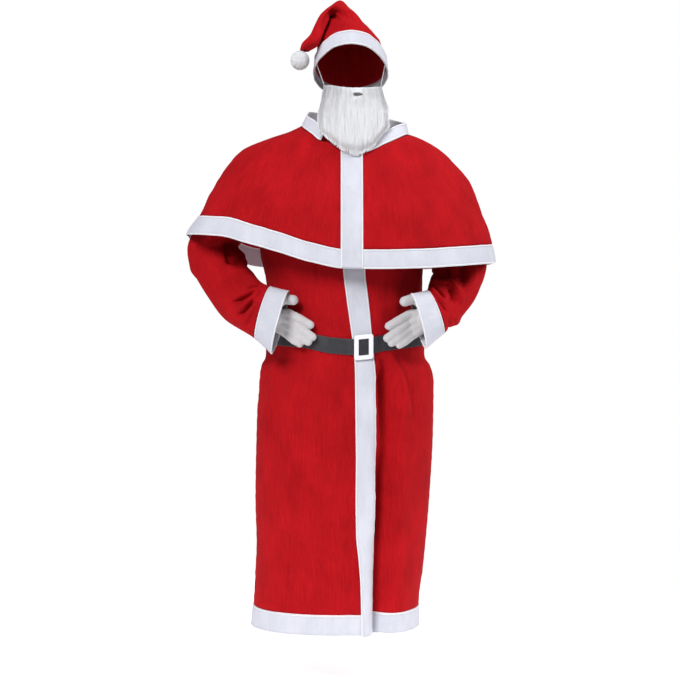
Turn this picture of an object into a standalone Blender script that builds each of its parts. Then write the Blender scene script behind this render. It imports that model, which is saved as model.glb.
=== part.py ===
"""A worn santa suit: long robe with a caped collar, belt, hat, beard and gloves.

Metres, +Z up. The front faces -Y, and the origin is the middle of the wearer's neck where the
cape's collar sits. Every cloth piece is a thin wall whose inner skin is drawn first: a "skin" is
a function that gives a point for a turn about the body (0 in front, positive towards +X) and a
height.
"""

import math

import bmesh
import bpy
import numpy as np
from mathutils import Matrix, Vector

SUIT = "santa_suit"

# Cloth thicknesses and the gap left between pieces that touch
FELT = 0.0015
TRIM = 0.0020
SEAM = 0.0003

# Widths and heights of the sewn parts
PLACKET_WIDTH = 0.056
ROBE_HEM_TOP, ROBE_HEM_BOTTOM = -1.232, -1.286
CAPE_HEM_WIDTH = 0.049
CAPE_PLACKET_X = 0.0168
ROBE_NECK_DROP = 0.009
COLLAR_HEIGHT, COLLAR_COLUMNS = 0.030, 34
COLLAR_ENDS = (math.radians(-25), math.radians(18.4))
BELT_WIDTH, BELT_THICKNESS = 0.041, 0.0022
BUCKLE_WIDTH, BUCKLE_HEIGHT, BUCKLE_CORNER, BUCKLE_THICKNESS = 0.049, 0.063, 0.006, 0.004
WINDOW_WIDTH, WINDOW_HEIGHT, WINDOW_CORNER = 0.026, 0.041, 0.002
BAND_WIDTH, BAND_WALL, BAND_TUCK = 0.037, 0.0030, 0.004
POMPOM_RADIUS = 0.0255
MOUTH_WIDTH, MOUTH_HEIGHT, MOUTH_CUT_DEPTH = 0.029, 0.011, 0.12
ELASTIC_WIDTH, ELASTIC_THICKNESS = 0.006, 0.0008

# How far pieces stand off the ones they are sewn on: the robe's placket, the collar's foot, and
# the extra at a sleeve's underarm, in thicknesses of felt
PLACKET_GAP = 2 * SEAM
COLLAR_SEAT = 0.001
UNDERARM_EASE = 1.3

# A fold fades over these shares of its length; a sleeve's folds fade over these numbers of stations
FOLD_FADES = (0.18, 0.35)
SLEEVE_FADES = (2.0, 1.2)

# Typical reach from the body's middle to the cloth, which turns a gap in metres into a turn
FRONT_REACH, SIDE_REACH = 0.175, 0.200
BELT_MIDDLE = -0.555
BELT_LEAD, BELT_RAMP = math.radians(1.6), math.radians(4)

# Armhole: an oval round the shoulder's side, from the shoulder tip to the armpit
SHOULDER_TIP, ARMPIT = -0.035, -0.235
ARMHOLE_HALF_TURN = math.radians(27)

# How finely the walls are drawn
ARM_COLUMNS = 16
BACK_COLUMNS = 13
FRONT_SHARES = (0.05, 0.11, 0.19, 0.30, 0.46, 0.64, 0.82, 1.0)
PLACKET_COLUMNS = 4
BEARD_COLUMNS, BEARD_ROWS = 26, 11
POMPOM_SEGMENTS, POMPOM_RINGS = 16, 10
GLOVE_VOXEL, GLOVE_RELAXING, GLOVE_KEPT = 0.0030, 4, 0.065

# The small step that slopes are measured over, and how near two points count as one
SLOPE_STEP = 0.002
WELD = 0.00001


def table(columns, *rows):
    """Named columns of numbers, sorted by the first column."""
    ordered = sorted(rows)
    return {name: np.array([row[i] for row in ordered]) for i, name in enumerate(columns.split())}


# Cross-sections of the robe's inner skin: half-widths, depths, and how square the ring is
ROBE = table(
    "height middle left right front back square",
    (0.040, 0.0155, 0.1106, 0.1124, 0.0950, 0.0972, 2.0),
    (0.030, 0.0150, 0.1178, 0.1196, 0.0990, 0.1008, 2.0),
    (0.012, 0.0115, 0.138, 0.1340, 0.106, 0.1066, 2.1),
    (-0.010, 0.004, 0.182, 0.175, 0.114, 0.120, 2.2),
    (-0.035, 0.000, 0.207, 0.205, 0.124, 0.128, 2.3),
    (-0.080, 0.000, 0.211, 0.211, 0.140, 0.140, 2.4),
    (-0.150, 0.000, 0.214, 0.213, 0.158, 0.150, 2.4),
    (-0.235, 0.000, 0.221, 0.211, 0.174, 0.155, 2.4),
    (-0.294, 0.000, 0.223, 0.208, 0.180, 0.154, 2.4),
    (-0.395, 0.000, 0.205, 0.203, 0.181, 0.150, 2.3),
    (-0.470, 0.000, 0.203, 0.204, 0.178, 0.148, 2.3),
    (-0.505, 0.000, 0.206, 0.207, 0.175, 0.148, 2.3),
    (-0.583, 0.000, 0.208, 0.209, 0.175, 0.149, 2.3),
    (-0.604, 0.000, 0.219, 0.223, 0.181, 0.159, 2.3),
    (-0.647, 0.000, 0.226, 0.233, 0.186, 0.168, 2.3),
    (-0.780, 0.000, 0.232, 0.231, 0.190, 0.178, 2.3),
    (-0.956, 0.000, 0.235, 0.221, 0.184, 0.180, 2.3),
    (-1.073, 0.000, 0.232, 0.211, 0.178, 0.178, 2.3),
    (-1.142, 0.000, 0.235, 0.204, 0.176, 0.178, 2.3),
    (-1.227, 0.000, 0.240, 0.194, 0.177, 0.181, 2.3),
    (-1.300, 0.000, 0.248, 0.194, 0.180, 0.185, 2.3),
)

# The same for the cape, which hangs clear of the robe over the upper arms
CAPE = table(
    "height middle left right front back square",
    (0.050, 0.016, 0.106, 0.108, 0.094, 0.096, 2.0),
    (0.030, 0.015, 0.124, 0.122, 0.103, 0.106, 2.0),
    (0.006, 0.010, 0.164, 0.146, 0.118, 0.122, 2.1),
    (-0.010, 0.004, 0.206, 0.196, 0.127, 0.131, 2.2),
    (-0.040, 0.000, 0.272, 0.252, 0.140, 0.144, 2.3),
    (-0.075, 0.000, 0.305, 0.288, 0.154, 0.158, 2.4),
    (-0.125, 0.000, 0.338, 0.329, 0.172, 0.172, 2.5),
    (-0.167, 0.000, 0.359, 0.346, 0.187, 0.180, 2.6),
    (-0.205, 0.000, 0.378, 0.359, 0.200, 0.187, 2.6),
    (-0.262, 0.000, 0.416, 0.377, 0.216, 0.194, 2.6),
    (-0.334, 0.000, 0.430, 0.395, 0.230, 0.202, 2.6),
    (-0.380, 0.000, 0.437, 0.404, 0.236, 0.206, 2.6),
)

# Height of the cape's neckline and of its lower edge round the body
CAPE_NECK = table(
    "turn height",
    (-180, 0.042), (-120, 0.040), (-90, 0.034), (-60, 0.012), (-38, -0.010), (-25, -0.031),
    (-18, -0.0335), (-12, -0.043), (-4, -0.058), (6, -0.0635), (18, -0.0625), (38, -0.039),
    (60, -0.011), (90, 0.006), (130, 0.030), (180, 0.042),
)
# How far the collar's upper edge leans in towards the neck
COLLAR_LEAN = table(
    "turn lean",
    (-180, 0.008), (-90, 0.012), (-60, 0.016), (-42, 0.025), (-25, 0.025), (18, 0.013), (32, 0.017),
    (46, 0.019), (62, 0.011), (90, 0.004), (180, 0.008),
)
CAPE_EDGE = table(
    "turn height",
    (-180, -0.346), (-150, -0.343), (-126, -0.333), (-108, -0.292), (-90, -0.2624),
    (-63, -0.2746), (-49, -0.2996), (-35, -0.323), (-21, -0.344), (0, -0.361), (20, -0.362),
    (40, -0.3596), (56, -0.3526), (75, -0.341), (90, -0.334), (120, -0.340), (180, -0.346),
)

# Middle of the robe's placket, and middle of the belt round the waist
# Turns of the robe placket's two edges; low down it turns in towards the deep fold beside it
PLACKET_LINE = table(
    "height left right",
    (-0.075, -4.9, 17.4), (-0.360, -1.7, 15.8), (-0.425, 0.7, 17.9), (-0.527, 5.4, 21.8),
    (-0.580, 7.5, 23.3), (-0.670, 7.6, 23.0), (-0.770, 7.8, 23.9), (-0.840, 8.1, 24.2),
    (-0.935, 8.2, 23.7), (-1.030, 8.8, 23.8), (-1.097, 10.9, 25.1), (-1.163, 12.4, 25.9),
    (-1.240, 12.8, 26.1), (-1.290, 13.0, 26.1),
)
BELT_LINE = table(
    "turn height",
    (-180, -0.530), (-90, -0.528), (-35, -0.537), (-12, -0.5515), (12, -0.5565), (32, -0.545),
    (90, -0.530), (180, -0.530),
)

# Rows of the robe below the armpit, and of the cape as shares of the way down to its band
ROBE_ROWS = (
    -0.270, -0.310, -0.355, -0.400, -0.445, -0.480, -0.505, -0.544, -0.583, -0.598,
    -0.618, -0.650, -0.700, -0.760, -0.830, -0.905, -0.980, -1.060, -1.145, ROBE_HEM_TOP,
)
CAPE_ROWS = (0, 0.05, 0.11, 0.19, 0.28, 0.40, 0.52, 0.64, 0.76, 0.88, 1.0)
# Share of the neckline's dip that the robe's rows keep at the shoulder, its tip and the armpit
DIP_AT_SHOULDER, DIP_AT_TIP, DIP_AT_ARMPIT = 0.79, 0.62, 0.03

# Soft folds that run down the cloth. A negative depth is a valley.
ROBE_FOLDS = (
    # turn at top, turn at bottom, top, bottom, depth, width in turn
    (30.5, 29.5, -0.572, -0.980, -0.030, 8.5),
    (30, 24, -0.760, -2.400, -0.042, 8.5),
    (40, 47, -0.595, -1.420, 0.005, 8.0),
    (31, 41, -0.582, -0.720, -0.006, 3.2),
    (47, 54, -0.584, -0.800, -0.005, 4.5),
    (4, 1, -0.800, -1.600, -0.004, 5.5),
    (-18, -15, -0.584, -0.850, -0.003, 4.0),
    (-50, -56, -0.584, -0.900, -0.005, 5.5),
    (-80, -85, -0.582, -0.710, -0.006, 5.0),
    (-38, -34, -0.330, -0.505, -0.004, 6.0),
    (52, 46, -0.340, -0.505, -0.004, 6.0),
    (118, 122, -0.584, -1.250, -0.007, 7.0),
    (148, 145, -0.584, -1.600, -0.008, 7.5),
    (174, 176, -0.590, -1.700, 0.006, 8.0),
    (-152, -147, -0.584, -1.450, -0.008, 7.5),
    (-118, -123, -0.584, -1.350, -0.007, 7.0),
    (160, 166, -0.300, -0.500, -0.005, 8.0),
    (-160, -166, -0.320, -0.500, -0.005, 8.0),
)
CAPE_FOLDS = (
    (-60, -54, -0.040, -0.480, -0.005, 9.0),
    (-24, -27, -0.120, -0.600, 0.004, 9.0),
    (40, 37, -0.120, -0.600, 0.004, 10.0),
    (66, 60, -0.040, -0.480, -0.005, 9.0),
    (116, 122, -0.040, -0.600, -0.009, 8.0),
    (152, 148, -0.030, -0.700, -0.008, 8.0),
    (-178, -175, -0.040, -0.700, 0.006, 9.0),
    (-148, -146, -0.030, -0.700, -0.008, 8.0),
    (-114, -120, -0.040, -0.600, -0.008, 8.0),
)

# Stations down each sleeve: its middle, its half-size across the arm and in depth, the tilt of its
# outer side above the horizontal, and the turn of its front towards its own side (degrees).
# The armhole comes before the first, and the last two are the ends of the cuff.
SLEEVES = {
    "left": (
        (-0.260, 0.000, -0.156, 0.088, 0.086, 68, 0),
        (-0.281, 0.003, -0.195, 0.0755, 0.076, 50, 0),
        (-0.309, 0.006, -0.238, 0.070, 0.069, 25, 4),
        (-0.346, 0.004, -0.290, 0.067, 0.065, -4, 10),
        (-0.327, -0.030, -0.344, 0.065, 0.061, -26, 14),
        (-0.293, -0.074, -0.400, 0.064, 0.056, -35, 14),
        (-0.262, -0.110, -0.437, 0.065, 0.051, -46, 12),
        (-0.2095, -0.148, -0.468, 0.068, 0.046, -74, 10),
        (-0.1625, -0.180, -0.494, 0.081, 0.040, -75, 8),
    ),
    "right": (
        (0.252, 0.000, -0.158, 0.085, 0.086, 67, 0),
        (0.272, 0.003, -0.195, 0.0745, 0.076, 48, 0),
        (0.289, 0.006, -0.245, 0.066, 0.069, 26, 4),
        (0.303, 0.004, -0.302, 0.066, 0.065, -2, 10),
        (0.298, -0.028, -0.352, 0.065, 0.061, -14, 14),
        (0.281, -0.070, -0.402, 0.061, 0.056, -26, 14),
        (0.254, -0.110, -0.440, 0.058, 0.050, -52, 12),
        (0.2305, -0.148, -0.466, 0.057, 0.044, -69, 10),
        (0.1830, -0.180, -0.491, 0.070, 0.040, -75, 8),
    ),
}
CUFF_START, CUFF_END = 8, 9
SLEEVE_ROWS = (
    0, 0.3, 0.65, 1, 1.5, 2, 2.5, 3, 3.35, 3.7, 4, 4.3, 4.65, 5, 5.4, 5.8, 6.2, 6.6, 7, 7.5, 8,
)
CUFF_ROWS = {"left": (8.022, 8.35, 8.7, 9), "right": (8.032, 8.35, 8.7, 9)}
SLEEVE_FOLDS = (
    # station, round the arm, depth, length in stations, width in turn
    (4.2, 165, -0.009, 0.35, 60),
    (5.0, 150, 0.006, 0.30, 55),
    (5.5, 160, -0.008, 0.28, 60),
    (6.2, 120, -0.005, 0.35, 45),
    (3.4, 185, -0.006, 0.35, 55),
    (4.6, 30, 0.005, 0.50, 45),
    (2.3, 60, -0.004, 0.40, 60),
)

# Rings of the hat's crown. Each is an oval between its inner and outer end in the picture plane;
# the cone rises to a peak, folds over it and comes down on the wearer's right.
CROWN = (
    # inner x, inner z, outer x, outer z, middle y, half-depth
    (-0.070, 0.262, 0.0915, 0.256, 0.014, 0.094),
    (-0.052, 0.292, 0.0720, 0.279, 0.013, 0.078),
    (-0.045, 0.305, 0.0500, 0.301, 0.010, 0.062),
    (-0.042, 0.311, 0.0330, 0.324, 0.006, 0.050),
    (-0.041, 0.314, 0.0125, 0.341, 0.000, 0.042),
    (-0.0405, 0.315, -0.0110, 0.357, -0.008, 0.037),
    (-0.0410, 0.313, -0.0350, 0.339, -0.018, 0.033),
    (-0.0440, 0.304, -0.0640, 0.311, -0.030, 0.031),
    (-0.0520, 0.281, -0.0790, 0.282, -0.044, 0.029),
    (-0.0600, 0.257, -0.0905, 0.256, -0.052, 0.028),
    (-0.0680, 0.234, -0.1120, 0.232, -0.056, 0.025),
    (-0.0960, 0.2158, -0.1170, 0.2176, -0.056, 0.010),
)
HAT_COLUMNS = 20

# Hat band: lower edge of a ring that sits high on the forehead and low behind
HEAD_MIDDLE = Vector((0.0155, 0.000))
BAND_HALF_WIDTH, BAND_DEPTH = 0.0965, 0.108
BAND_EDGE = table(
    "turn height",
    (-180, 0.124), (-130, 0.138), (-90, 0.166), (-50, 0.198), (-20, 0.219), (0, 0.2225),
    (20, 0.219), (50, 0.198), (90, 0.163), (130, 0.138), (180, 0.124),
)
POMPOM_MIDDLE = (-0.1175, -0.056, 0.1915)

# Beard: a bib of thick pile round the lower face. Rows run from the cheeks to the tip.
BEARD = table(
    "height front curl half_width middle",
    (0.125, -0.0978, 0.085, 0.078, 0.0205),
    (0.095, -0.1038, 0.078, 0.084, 0.0215),
    (0.060, -0.1128, 0.050, 0.090, 0.0215),
    (0.040, -0.1208, 0.026, 0.091, 0.0215),
    (0.000, -0.1378, 0.020, 0.090, 0.0230),
    (-0.070, -0.1598, 0.014, 0.086, 0.0230),
)
BEARD_TOP = table(
    "across height",
    (-1.0, 0.134), (-0.7, 0.124), (-0.3, 0.113), (0.0, 0.110), (0.4, 0.113), (0.75, 0.121),
    (1.0, 0.130),
)
BEARD_BOTTOM = table(
    "across height",
    (-1.0, 0.000), (-0.8, -0.018), (-0.5, -0.043), (-0.2, -0.060), (0.05, -0.066),
    (0.3, -0.058), (0.55, -0.044), (0.8, -0.012), (1.0, 0.010),
)
BEARD_PILE = 0.016
BEARD_BACKING = 0.003
BEARD_LOCKS = 13
LOCK_HEIGHT = 0.0028
LOCK_SWAY, LOCK_BENDS = 2.2, 5
BEARD_THINNING = (0.18, 0.12)
MOUTH_MIDDLE = (0.0325, -0.125, 0.0915)

# The beard's elastic: where it is sewn, from the beard's corner inwards; the turn and the share of
# the band's width at which it goes under the hat band; and the share it keeps round behind
ELASTIC_SEWN = (0.005, 0.0008, -0.006)
ELASTIC_TURN, ELASTIC_ENTRY, ELASTIC_LEVEL = 72, 0.15, 0.35
ELASTIC_STEP = 18

# Gloves: bones of each hand as end points and radii, wrist first
GLOVES = {
    "left": (
        # from x, y, z, radius, to x, y, z, radius
        (-0.205, -0.1497, -0.476, 0.0260, -0.176, -0.1567, -0.484, 0.0240),
        (-0.176, -0.1567, -0.474, 0.0170, -0.140, -0.1597, -0.474, 0.0140),
        (-0.176, -0.1567, -0.484, 0.0180, -0.138, -0.1597, -0.490, 0.0140),
        (-0.176, -0.1567, -0.494, 0.0170, -0.141, -0.1587, -0.508, 0.0130),
        (-0.178, -0.1567, -0.500, 0.0160, -0.147, -0.1567, -0.522, 0.0120),
        (-0.140, -0.1597, -0.474, 0.0115, -0.106, -0.1767, -0.486, 0.0100),
        (-0.106, -0.1767, -0.486, 0.0100, -0.083, -0.1797, -0.504, 0.0090),
        (-0.138, -0.1597, -0.490, 0.0115, -0.100, -0.1777, -0.508, 0.0100),
        (-0.100, -0.1777, -0.508, 0.0100, -0.077, -0.1797, -0.526, 0.0090),
        (-0.141, -0.1587, -0.508, 0.0110, -0.107, -0.1757, -0.530, 0.0095),
        (-0.107, -0.1757, -0.530, 0.0095, -0.087, -0.1787, -0.544, 0.0085),
        (-0.147, -0.1567, -0.522, 0.0100, -0.125, -0.1707, -0.541, 0.0090),
        (-0.125, -0.1707, -0.541, 0.0090, -0.109, -0.1747, -0.551, 0.0080),
        (-0.168, -0.1597, -0.470, 0.0150, -0.141, -0.1717, -0.449, 0.0110),
        (-0.141, -0.1717, -0.449, 0.0110, -0.118, -0.1777, -0.436, 0.0090),
    ),
    "right": (
        (0.226, -0.1497, -0.476, 0.0260, 0.198, -0.1567, -0.485, 0.0240),
        (0.198, -0.1567, -0.475, 0.0170, 0.163, -0.1607, -0.475, 0.0140),
        (0.198, -0.1567, -0.485, 0.0180, 0.160, -0.1607, -0.493, 0.0140),
        (0.198, -0.1567, -0.495, 0.0170, 0.162, -0.1597, -0.512, 0.0130),
        (0.200, -0.1567, -0.502, 0.0160, 0.168, -0.1577, -0.527, 0.0120),
        (0.163, -0.1607, -0.475, 0.0115, 0.128, -0.1767, -0.490, 0.0100),
        (0.128, -0.1767, -0.490, 0.0100, 0.106, -0.1807, -0.508, 0.0090),
        (0.160, -0.1607, -0.493, 0.0115, 0.124, -0.1777, -0.514, 0.0100),
        (0.124, -0.1777, -0.514, 0.0100, 0.101, -0.1807, -0.533, 0.0090),
        (0.162, -0.1597, -0.512, 0.0110, 0.130, -0.1757, -0.535, 0.0095),
        (0.130, -0.1757, -0.535, 0.0095, 0.110, -0.1787, -0.549, 0.0085),
        (0.168, -0.1577, -0.527, 0.0100, 0.147, -0.1707, -0.547, 0.0090),
        (0.147, -0.1707, -0.547, 0.0090, 0.133, -0.1747, -0.558, 0.0080),
        (0.190, -0.1597, -0.470, 0.0150, 0.164, -0.1717, -0.451, 0.0110),
        (0.164, -0.1717, -0.451, 0.0110, 0.140, -0.1777, -0.441, 0.0090),
    ),
}
GLOVE_WALL = 0.0012
WRIST_CUT = {"left": -0.203, "right": 0.224}


# ---------------------------------------------------------------- curves through the tables

def smooth(at, knots, values):
    """A cubic through the knots that never overshoots them."""
    steps = np.diff(knots)
    slopes = np.diff(values) / steps
    product = slopes[:-1] * slopes[1:]
    total = np.where(product > 0, slopes[:-1] + slopes[1:], 1.0)
    tangents = np.empty(len(knots))
    tangents[1:-1] = np.where(product > 0, 2 * product / total, 0.0)
    tangents[0], tangents[-1] = slopes[0], slopes[-1]
    i = min(max(int(np.searchsorted(knots, at)) - 1, 0), len(steps) - 1)
    t = min(max((at - knots[i]) / steps[i], 0.0), 1.0)
    return (
        values[i] * (1 + 2 * t) * (1 - t) ** 2
        + values[i + 1] * t * t * (3 - 2 * t)
        + steps[i] * tangents[i] * t * (1 - t) ** 2
        - steps[i] * tangents[i + 1] * t * t * (1 - t)
    )


def around(edge, turn):
    """Height of an edge that is given round the body, at a turn in radians."""
    degrees = (math.degrees(turn) + 180) % 360 - 180
    return smooth(degrees, edge["turn"], edge["height"])


def soft_step(t):
    t = min(max(t, 0.0), 1.0)
    return t * t * (3 - 2 * t)


def fold_depth(folds, turn, height):
    """How far all the folds push the cloth out at one place."""
    degrees = math.degrees(turn)
    pushed = 0.0
    for turn_top, turn_bottom, top, bottom, depth, width in folds:
        down = (top - height) / (top - bottom)
        if not 0 < down < 1:
            continue
        aside = (degrees - turn_top - (turn_bottom - turn_top) * down + 180) % 360 - 180
        reach = width * (0.6 + 0.6 * down)
        fade = soft_step(down / FOLD_FADES[0]) * soft_step((1 - down) / FOLD_FADES[1])
        pushed += depth * fade * math.exp(-((aside / reach) ** 2))
    return pushed


# ---------------------------------------------------------------- skins

def body_skin(shape, folds):
    """The inner skin that a table of cross-sections and a list of folds describe."""

    def skin(turn, height):
        size = {name: smooth(height, shape["height"], shape[name]) for name in shape}
        across, ahead = math.sin(turn), math.cos(turn)
        half_width = size["right"] if across > 0 else size["left"]
        depth = size["front"] if ahead > 0 else size["back"]
        power = size["square"]
        reach = (abs(across / half_width) ** power + abs(ahead / depth) ** power) ** (-1 / power)
        reach += fold_depth(folds, turn, height)
        return Vector((size["middle"] + reach * across, -reach * ahead, height))

    return skin


robe_skin = body_skin(ROBE, ROBE_FOLDS)
cape_skin = body_skin(CAPE, CAPE_FOLDS)


def outward(skin, turn, height, out):
    """The point of a skin moved out along the cloth's own normal."""
    point = skin(turn, height)
    if out == 0:
        return point
    sideways = skin(turn + SLOPE_STEP, height) - skin(turn - SLOPE_STEP, height)
    upwards = skin(turn, height + SLOPE_STEP) - skin(turn, height - SLOPE_STEP)
    return point + sideways.cross(upwards).normalized() * out


# ---------------------------------------------------------------- making objects

def new_collection(name):
    collection = bpy.data.collections.new(name)
    bpy.context.scene.collection.children.link(collection)
    return collection


def material(name, colour, roughness):
    finish = bpy.data.materials.new(name)
    finish.use_nodes = True
    finish.diffuse_color = (*colour, 1.0)
    shader = finish.node_tree.nodes["Principled BSDF"]
    shader.inputs["Base Color"].default_value = (*colour, 1.0)
    shader.inputs["Roughness"].default_value = roughness
    return finish


def add_object(name, mesh, finish, collection):
    thing = bpy.data.objects.new(name, mesh)
    mesh.materials.clear()
    mesh.materials.append(finish)
    collection.objects.link(thing)
    return thing


def sheet_mesh(name, rows, ring=False, flip=False):
    """A quad sheet through rows of points. A ring joins its last column to its first."""
    width = len(rows[0])
    faces = []
    for r in range(len(rows) - 1):
        for c in range(width if ring else width - 1):
            right = (c + 1) % width
            face = (r * width + c, (r + 1) * width + c, (r + 1) * width + right, r * width + right)
            faces.append(face[::-1] if flip else face)
    mesh = bpy.data.meshes.new(name)
    mesh.from_pydata([tuple(point) for row in rows for point in row], [], faces)
    mesh.shade_smooth()
    return mesh


def cloth(name, rows, finish, wall=FELT, ring=False, flip=False):
    """A cloth piece: the sheet is its inner skin, and Solidify makes the wall outside it."""
    piece = add_object(name, sheet_mesh(name, rows, ring, flip), finish, suit)
    thicken = piece.modifiers.new("wall", "SOLIDIFY")
    thicken.thickness = wall
    thicken.offset = 1.0
    return piece


# ---------------------------------------------------------------- robe

def placket_turns(shape, height, x):
    """Turns at the left edge, middle and right edge of a placket centred on x."""
    middle = smooth(height, shape["height"], shape["middle"])
    front = smooth(height, shape["height"], shape["front"])
    half = PLACKET_WIDTH / 2
    return [math.atan2(x + offset - middle, front) for offset in (-half, 0.0, half)]


def robe_placket_turns(height):
    """Turns across the robe's placket, from its left edge to its right one."""
    left = math.radians(smooth(height, PLACKET_LINE["height"], PLACKET_LINE["left"]))
    right = math.radians(smooth(height, PLACKET_LINE["height"], PLACKET_LINE["right"]))
    return [left + (right - left) * k / PLACKET_COLUMNS for k in range(PLACKET_COLUMNS + 1)]


def armhole(round_arm):
    """Height and half-turn of the armhole's edge; 0 is the shoulder tip, pi the armpit."""
    middle, half = (SHOULDER_TIP + ARMPIT) / 2, (SHOULDER_TIP - ARMPIT) / 2
    return middle + half * math.cos(round_arm), ARMHOLE_HALF_TURN * abs(math.sin(round_arm))


def robe_neck(turn):
    return around(CAPE_NECK, turn) - ROBE_NECK_DROP


def robe_levels():
    """Rows of the robe: height at the side seam, opening of the armhole, share of the neckline."""
    levels = [("neck", 0.0, 1.0), ("shoulder", 0.0, DIP_AT_SHOULDER)]
    steps = ARM_COLUMNS // 2
    for k in range(steps + 1):
        height, half_turn = armhole(math.pi * k / steps)
        levels.append((height, half_turn, DIP_AT_TIP + (DIP_AT_ARMPIT - DIP_AT_TIP) * k / steps))
    return levels + [(height, 0.0, 0.0) for height in ROBE_ROWS]


def seam_height(level, side_turn):
    """Height of a robe row at the side seam at one side of the body."""
    neck = robe_neck(side_turn)
    if level == "neck":
        return neck
    if level == "shoulder":
        return neck + 0.5 * (SHOULDER_TIP - neck)
    return level


def robe_row_height(level, share, turn):
    """Height of a robe row at any turn: level below the armpit, following the neck above it."""
    blend = (math.sin(turn) + 1) / 2
    level_here = (1 - blend) * seam_height(level, -math.pi / 2) + blend * seam_height(level, math.pi / 2)
    neck_here = (1 - blend) * robe_neck(-math.pi / 2) + blend * robe_neck(math.pi / 2)
    return level_here + share * (robe_neck(turn) - neck_here)


def front_turns(side, centre_height, opening):
    """Turns across one front, from under the placket's middle to the side seam or armhole."""
    across = robe_placket_turns(centre_height)[::side]
    half = PLACKET_COLUMNS // 2
    start = across[half] + side * SEAM / 2 / FRONT_REACH
    edge = across[-1]
    seam = side * (math.pi / 2 - opening - SEAM / SIDE_REACH)
    return [start] + across[half + 1:] + [edge + (seam - edge) * share for share in FRONT_SHARES]


def back_turns(opening):
    """Turns across the back, from the right side seam to the left one."""
    start = math.pi / 2 + opening + SEAM / SIDE_REACH
    return [start + (2 * math.pi - 2 * start) * k / BACK_COLUMNS for k in range(BACK_COLUMNS + 1)]


def robe_panel(name, turns_of, levels, finish, wall):
    rows = []
    for level, opening, share in levels:
        centre_height = robe_row_height(level, share, 0.0)
        turns = sorted(turns_of(centre_height, opening))
        rows.append([robe_skin(turn, robe_row_height(level, share, turn)) for turn in turns])
    return cloth(name, rows, finish, wall)


def make_robe():
    panels = {
        "front_left": lambda centre, opening: front_turns(-1, centre, opening),
        "front_right": lambda centre, opening: front_turns(1, centre, opening),
        "back": lambda centre, opening: back_turns(opening),
    }
    hem_levels = [
        (ROBE_HEM_TOP - 2 * SEAM, 0.0, 0.0),
        ((ROBE_HEM_TOP + ROBE_HEM_BOTTOM) / 2, 0.0, 0.0),
        (ROBE_HEM_BOTTOM, 0.0, 0.0),
    ]
    for part, turns_of in panels.items():
        robe_panel("robe_" + part, turns_of, robe_levels(), red_felt, FELT)
        robe_panel("robe_hem_" + part, turns_of, hem_levels, white_felt, TRIM)


def make_robe_placket():
    rows = []
    for level, _, share in robe_levels() + [
        ((ROBE_HEM_TOP + ROBE_HEM_BOTTOM) / 2, 0.0, 0.0), (ROBE_HEM_BOTTOM, 0.0, 0.0),
    ]:
        centre_height = robe_row_height(level, share, 0.0)
        row = []
        for turn in robe_placket_turns(centre_height):
            height = robe_row_height(level, share, turn)
            row.append(outward(robe_skin, turn, height, TRIM + PLACKET_GAP))
        rows.append(row)
    cloth("robe_placket", rows, white_felt, TRIM)


# ---------------------------------------------------------------- sleeves and cuffs

def sleeve_ring(side, station, round_arm):
    """A point of one station's ring; 0 is the outer side of the arm and pi/2 its front."""
    x, y, z, across, deep, tilt, yaw = SLEEVES[side][station - 1]
    sign = 1 if side == "right" else -1
    tilt, yaw = math.radians(tilt), math.radians(yaw)
    outer = Vector((sign * math.cos(tilt), 0, math.sin(tilt)))
    front = Vector((sign * math.sin(yaw), -math.cos(yaw), 0))
    return (
        Vector((x, y, z))
        + outer * across * math.cos(round_arm)
        + front * deep * math.sin(round_arm)
    )


def armhole_point(side, round_arm):
    """Where the sleeve starts, just outside the edge of the robe's armhole."""
    sign = 1 if side == "right" else -1
    height, half_turn = armhole(round_arm)
    ahead = 1 if math.sin(round_arm) > 0 else -1
    turn = sign * (math.pi / 2 - ahead * half_turn)
    out = FELT + 2 * SEAM + UNDERARM_EASE * FELT * (1 - math.cos(round_arm))
    return outward(robe_skin, turn, height, out)


def sleeve_skin(side, station, round_arm):
    """The sleeve's inner skin at any station down the arm."""
    rings = [armhole_point(side, round_arm)]
    rings += [sleeve_ring(side, k, round_arm) for k in range(1, CUFF_END + 1)]
    knots = np.arange(len(rings))
    points = np.array([tuple(ring) for ring in rings])
    point = Vector([smooth(station, knots, points[:, axis]) for axis in range(3)])
    middle = Vector([smooth(station, knots[1:], np.array(SLEEVES[side])[:, axis]) for axis in range(3)])
    pushed = 0.0
    for where, turned, depth, length, width in SLEEVE_FOLDS:
        aside = (math.degrees(round_arm) - turned + 180) % 360 - 180
        pushed += depth * math.exp(-(((station - where) / length) ** 2) - (aside / width) ** 2)
    fade = soft_step(station / SLEEVE_FADES[0]) * soft_step((CUFF_START - station) / SLEEVE_FADES[1])
    return point + (point - middle).normalized() * pushed * fade


def make_sleeve(side):
    flip = side == "right"
    turns = [2 * math.pi * k / ARM_COLUMNS for k in range(ARM_COLUMNS)]
    sleeve_rows = [[sleeve_skin(side, station, turn) for turn in turns] for station in SLEEVE_ROWS]
    cloth("sleeve_" + side, sleeve_rows, red_felt, FELT, ring=True, flip=flip)
    cuff_rows = [[sleeve_skin(side, station, turn) for turn in turns] for station in CUFF_ROWS[side]]
    cloth("cuff_" + side, cuff_rows, white_felt, TRIM, ring=True, flip=flip)


# ---------------------------------------------------------------- cape and collar

def cape_height(turn, share):
    """Height on the cape at a share of the way from its neckline to the hem band."""
    neck = around(CAPE_NECK, turn)
    return neck + share * (around(CAPE_EDGE, turn) + CAPE_HEM_WIDTH - neck)


def cape_hem_height(turn, share):
    return around(CAPE_EDGE, turn) + CAPE_HEM_WIDTH * (1 - share) - SEAM * (1 - share)


def cape_placket_turns(height):
    return placket_turns(CAPE, height, CAPE_PLACKET_X)


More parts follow.
